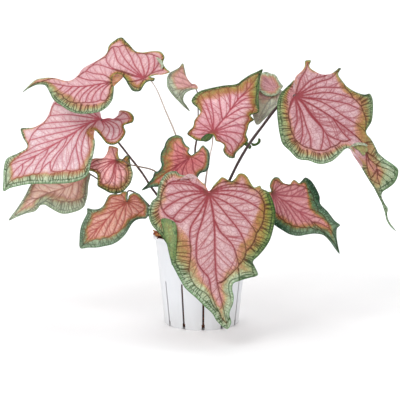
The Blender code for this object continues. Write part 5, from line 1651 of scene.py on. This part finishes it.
# noise_vector draws from its own seed, so that is set too and the chips come out the same each time.
rng = random.Random(12)
noise.seed_set(12)
bpy.ops.object.select_all(action="DESELECT")
bpy.ops.mesh.primitive_cube_add(size=1)
chip_start = bpy.context.object
bpy.ops.object.mode_set(mode="EDIT")
bpy.ops.mesh.select_all(action="SELECT")
bpy.ops.mesh.bevel(offset=0.14, segments=1, affect="EDGES")
bpy.ops.object.mode_set(mode="OBJECT")
start_spots = [vertex.co.copy() for vertex in chip_start.data.vertices]
start_faces = [tuple(polygon.vertices) for polygon in chip_start.data.polygons]
bpy.data.objects.remove(chip_start)


def chip(size, middle, turn):
    """The corners of one chip: a box pushed out of shape, in metres."""
    shift = Vector((rng.random() * 50, 0, 0))
    pushed = [spot + 0.30 * noise.noise_vector(spot * 1.3 + shift) for spot in start_spots]
    return [turn @ Vector(a * b for a, b in zip(spot, size)) + middle for spot in pushed]


def heap(direction):
    """How much higher the bark lies in a direction, in mm."""
    return HEAP_HEIGHT * max(math.cos(direction - HEAP_DIRECTION), 0) ** 6


corners, chip_faces, tints = [], [], []
for i in range(CHIP_COUNT):
    large = rng.random() < LARGE_SHARE
    length = rng.uniform(9, 15) if large else rng.uniform(4, 8)
    size = Vector((length, length * rng.uniform(0.45, 0.8), length * rng.uniform(0.18, 0.34))) * MM
    heaped = rng.random() < HEAPED_SHARE
    reach = rng.uniform(50, 61) if heaped else math.sqrt(rng.uniform(0.13, 1)) * (59.5 - length / 2)
    direction = rng.gauss(HEAP_DIRECTION, 0.3) if heaped else rng.uniform(0, 2 * math.pi)
    height = SOIL_TOP + rng.uniform(0.4, 2.6) + (1.2 if large else 0) + rng.random() * heap(direction)
    middle = Vector((reach * math.cos(direction), reach * math.sin(direction), height)) * MM
    tilt = Vector((rng.gauss(0, 0.35), rng.gauss(0, 0.35), 1)).to_track_quat("Z", "Y")
    heading = Vector((math.cos(direction * 7), math.sin(direction * 7), 0))
    heading = Vector((1, 0, 0)).rotation_difference(heading)
    chip_faces += [tuple(index + len(corners) for index in face) for face in start_faces]
    corners += chip(size, middle, tilt.to_matrix() @ heading.to_matrix())
    tints += [rng.random()] * len(start_spots)
chips = add_mesh("bark_chips", corners, chip_faces)
bpy.ops.object.shade_smooth_by_angle(angle=math.radians(20))
store(chips, "tint", tints)
store(bark, "tint", [FILLING_TINT] * len(bark.data.vertices))
select_only(bark)
chips.select_set(True)
bpy.ops.object.join()
finish_piece(bark)
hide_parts("bark")
print("bark has", len(bark.data.polygons), "faces")

# %% [markdown]
# ## Bark finish
# Pine bark breaks in layers, so each chip is streaked, and each weathers to its own tone. It is dry
# and fully matt.

# %% Bark finish
BARK_TONES = [(0.0, "#3A2018"), (0.25, "#6B3B26"), (0.5, "#8E4A38"), (0.72, "#A9713F"), (1.0, "#C79A62")]
LAYERS = 3.5 * MM
made, shader, add = new_material("dry potting bark", {"Roughness": 0.9, "Specular IOR Level": 0.25})
tint = add("Attribute", attribute_name="tint").outputs["Fac"]
where = add("TexCoord").outputs["Object"]
layers = add("TexNoise", {"Vector": where, "Scale": 1 / LAYERS, "Detail": 6, "Roughness": 0.65})
shift = add("Math", [layers, 0.5], operation="SUBTRACT")
tone = add("Math", [shift, 1.4, tint], operation="MULTIPLY_ADD", use_clamp=True)
base = add("ValToRGB", [tone], stops=BARK_TONES)
bump = add("Bump", {"Height": layers, "Strength": 0.8, "Distance": 0.6 * MM})
set_inputs(shader, {"Base Color": base, "Normal": bump})
bark.data.materials.append(made)
print(made.name)

# %% [markdown]
# ## Corm
# A caladium grows from a corm, a round flattened tuber with a papery brown skin and rings where old
# leaves have dropped off. It sits in a dip in the bark, and all the stalks rise from it.

# %% Corm
CORM_TONES = [(0.3, "#2C1A12"), (0.5, "#5A3826"), (0.7, "#8A6246")]
FIBRES = 2 * MM
bpy.ops.object.select_all(action="DESELECT")
bpy.ops.mesh.primitive_uv_sphere_add(segments=72, ring_count=40, radius=1)
corm = bpy.context.object
corm.name = "corm_tuber"
for vertex in corm.data.vertices:
    spot = vertex.co.copy()
    out = math.hypot(spot.x, spot.y)
    ring = 0.020 * math.sin(out * 34 + noise.noise(spot * 2) * 2) if spot.z > -0.2 else 0
    knob = 0.045 * noise.noise(spot * 3.1)
    scale = 1 + ring + knob
    vertex.co = Vector((spot.x * CORM_RADIUS * scale, spot.y * CORM_RADIUS * scale,
                        spot.z * CORM_HALF_HEIGHT * scale + CORM_Z)) * MM
bpy.ops.object.shade_smooth()
finish_piece(corm)
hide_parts("corm")
made, shader, add = new_material("papery corm skin", {"Roughness": 0.8, "Specular IOR Level": 0.3})
where = add("TexCoord").outputs["Object"]
fibre = add("TexNoise", {"Vector": where, "Scale": 1 / FIBRES, "Detail": 6})
base = add("ValToRGB", [fibre], stops=CORM_TONES)
bump = add("Bump", {"Height": fibre, "Strength": 0.7, "Distance": 0.5 * MM})
set_inputs(shader, {"Base Color": base, "Normal": bump})
corm.data.materials.append(made)
print("corm has", len(corm.data.polygons), "faces")

# %% [markdown]
# ## Floor
# The plant stands on a plain pale floor that sweeps up into a pale backdrop, so that no horizon line
# crosses the picture.

# %% Floor
# In metres. The seam is a narrow strip that keeps the floor flat up to the bend.
FLOOR_WIDTH, FLOOR_DEPTH, FLOOR_SHIFT = 14, 7, -1
SEAM, BEND_RADIUS, WALL_HEIGHT = 0.01, 2.2, 3
bend_start = FLOOR_DEPTH / 2 + FLOOR_SHIFT + SEAM
bpy.ops.object.select_all(action="DESELECT")
bpy.ops.mesh.primitive_plane_add(size=1)
floor = bpy.context.object
floor.name = "studio_sweep"
bpy.ops.object.mode_set(mode="EDIT")
bpy.ops.mesh.select_all(action="SELECT")
bpy.ops.transform.resize(value=(FLOOR_WIDTH, FLOOR_DEPTH, 1))
bpy.ops.transform.translate(value=(0, FLOOR_SHIFT, 0))
bpy.ops.mesh.select_mode(type="EDGE")
bpy.ops.mesh.select_all(action="DESELECT")
sweep = bmesh.from_edit_mesh(floor.data)
for edge in sweep.edges:
    edge.select_set(all(vertex.co.y > 0 for vertex in edge.verts))
bmesh.update_edit_mesh(floor.data)
bpy.ops.mesh.extrude_region_move(TRANSFORM_OT_translate={"value": (0, SEAM, 0)})
bpy.ops.mesh.spin(steps=24, angle=-math.pi / 2, center=(0, bend_start, BEND_RADIUS), axis=(1, 0, 0))
bpy.ops.mesh.extrude_region_move(TRANSFORM_OT_translate={"value": (0, 0, WALL_HEIGHT)})
bpy.ops.mesh.select_all(action="SELECT")
bpy.ops.mesh.normals_make_consistent(inside=False)
bpy.ops.object.mode_set(mode="OBJECT")
bpy.ops.object.shade_smooth()
made, shader, add = new_material("matt white studio floor", {"Roughness": 0.7, "Specular IOR Level": 0.2})
where = add("TexCoord").outputs["Object"]
paint = add("TexNoise", {"Vector": where, "Scale": 6, "Detail": 3})
base = add("Mix", [paint, "#FBFBFB", "#F4F4F5"])
set_inputs(shader, {"Base Color": base})
floor.data.materials.append(made)
print("sweep reaches", [round(max(vertex.co[i] for vertex in floor.data.vertices), 2) for i in (1, 2)])

# %% [markdown]
# ## Light
# One large soft light from the upper left in front gives the blades their soft modelling. Weaker ones
# fill from the right, from low down and from above, and one lights the backdrop alone. A bright
# surround lifts every shadow.

# %% Light
SURROUND_STRENGTH = 0.62
# Most lights point at the middle of the plant.
PLANT_MIDDLE = (0, 0, 0.22)
world = bpy.data.worlds.new("bright studio")
bpy.context.scene.world = world
world.use_nodes = True
set_inputs(world.node_tree.nodes["Background"], {"Color": "#FFFFFF", "Strength": SURROUND_STRENGTH})


def add_softbox(name, spot, size, power, target=PLANT_MIDDLE):
    """A square light at a spot, of this size in metres and this power in watts, facing a target."""
    bpy.ops.object.light_add(type="AREA", location=spot)
    light = bpy.context.object
    light.name = name
    light.data.size = size
    light.data.energy = power
    light.rotation_euler = (Vector(target) - Vector(spot)).to_track_quat("-Z", "Y").to_euler()


add_softbox("key softbox", (-1.1, -1.3, 1.7), 1.2, 20)
add_softbox("fill softbox", (1.6, -1.0, 0.9), 1.4, 8)
add_softbox("low softbox", (-1.0, -1.3, 0.25), 0.8, 4)
add_softbox("top softbox", (0.2, 0.6, 1.8), 1.2, 10)
add_softbox("backdrop softbox", (0, 1.6, 2.2), 2.5, 60, (0, 4, 0.8))
bpy.context.scene.view_settings.view_transform = "Standard"
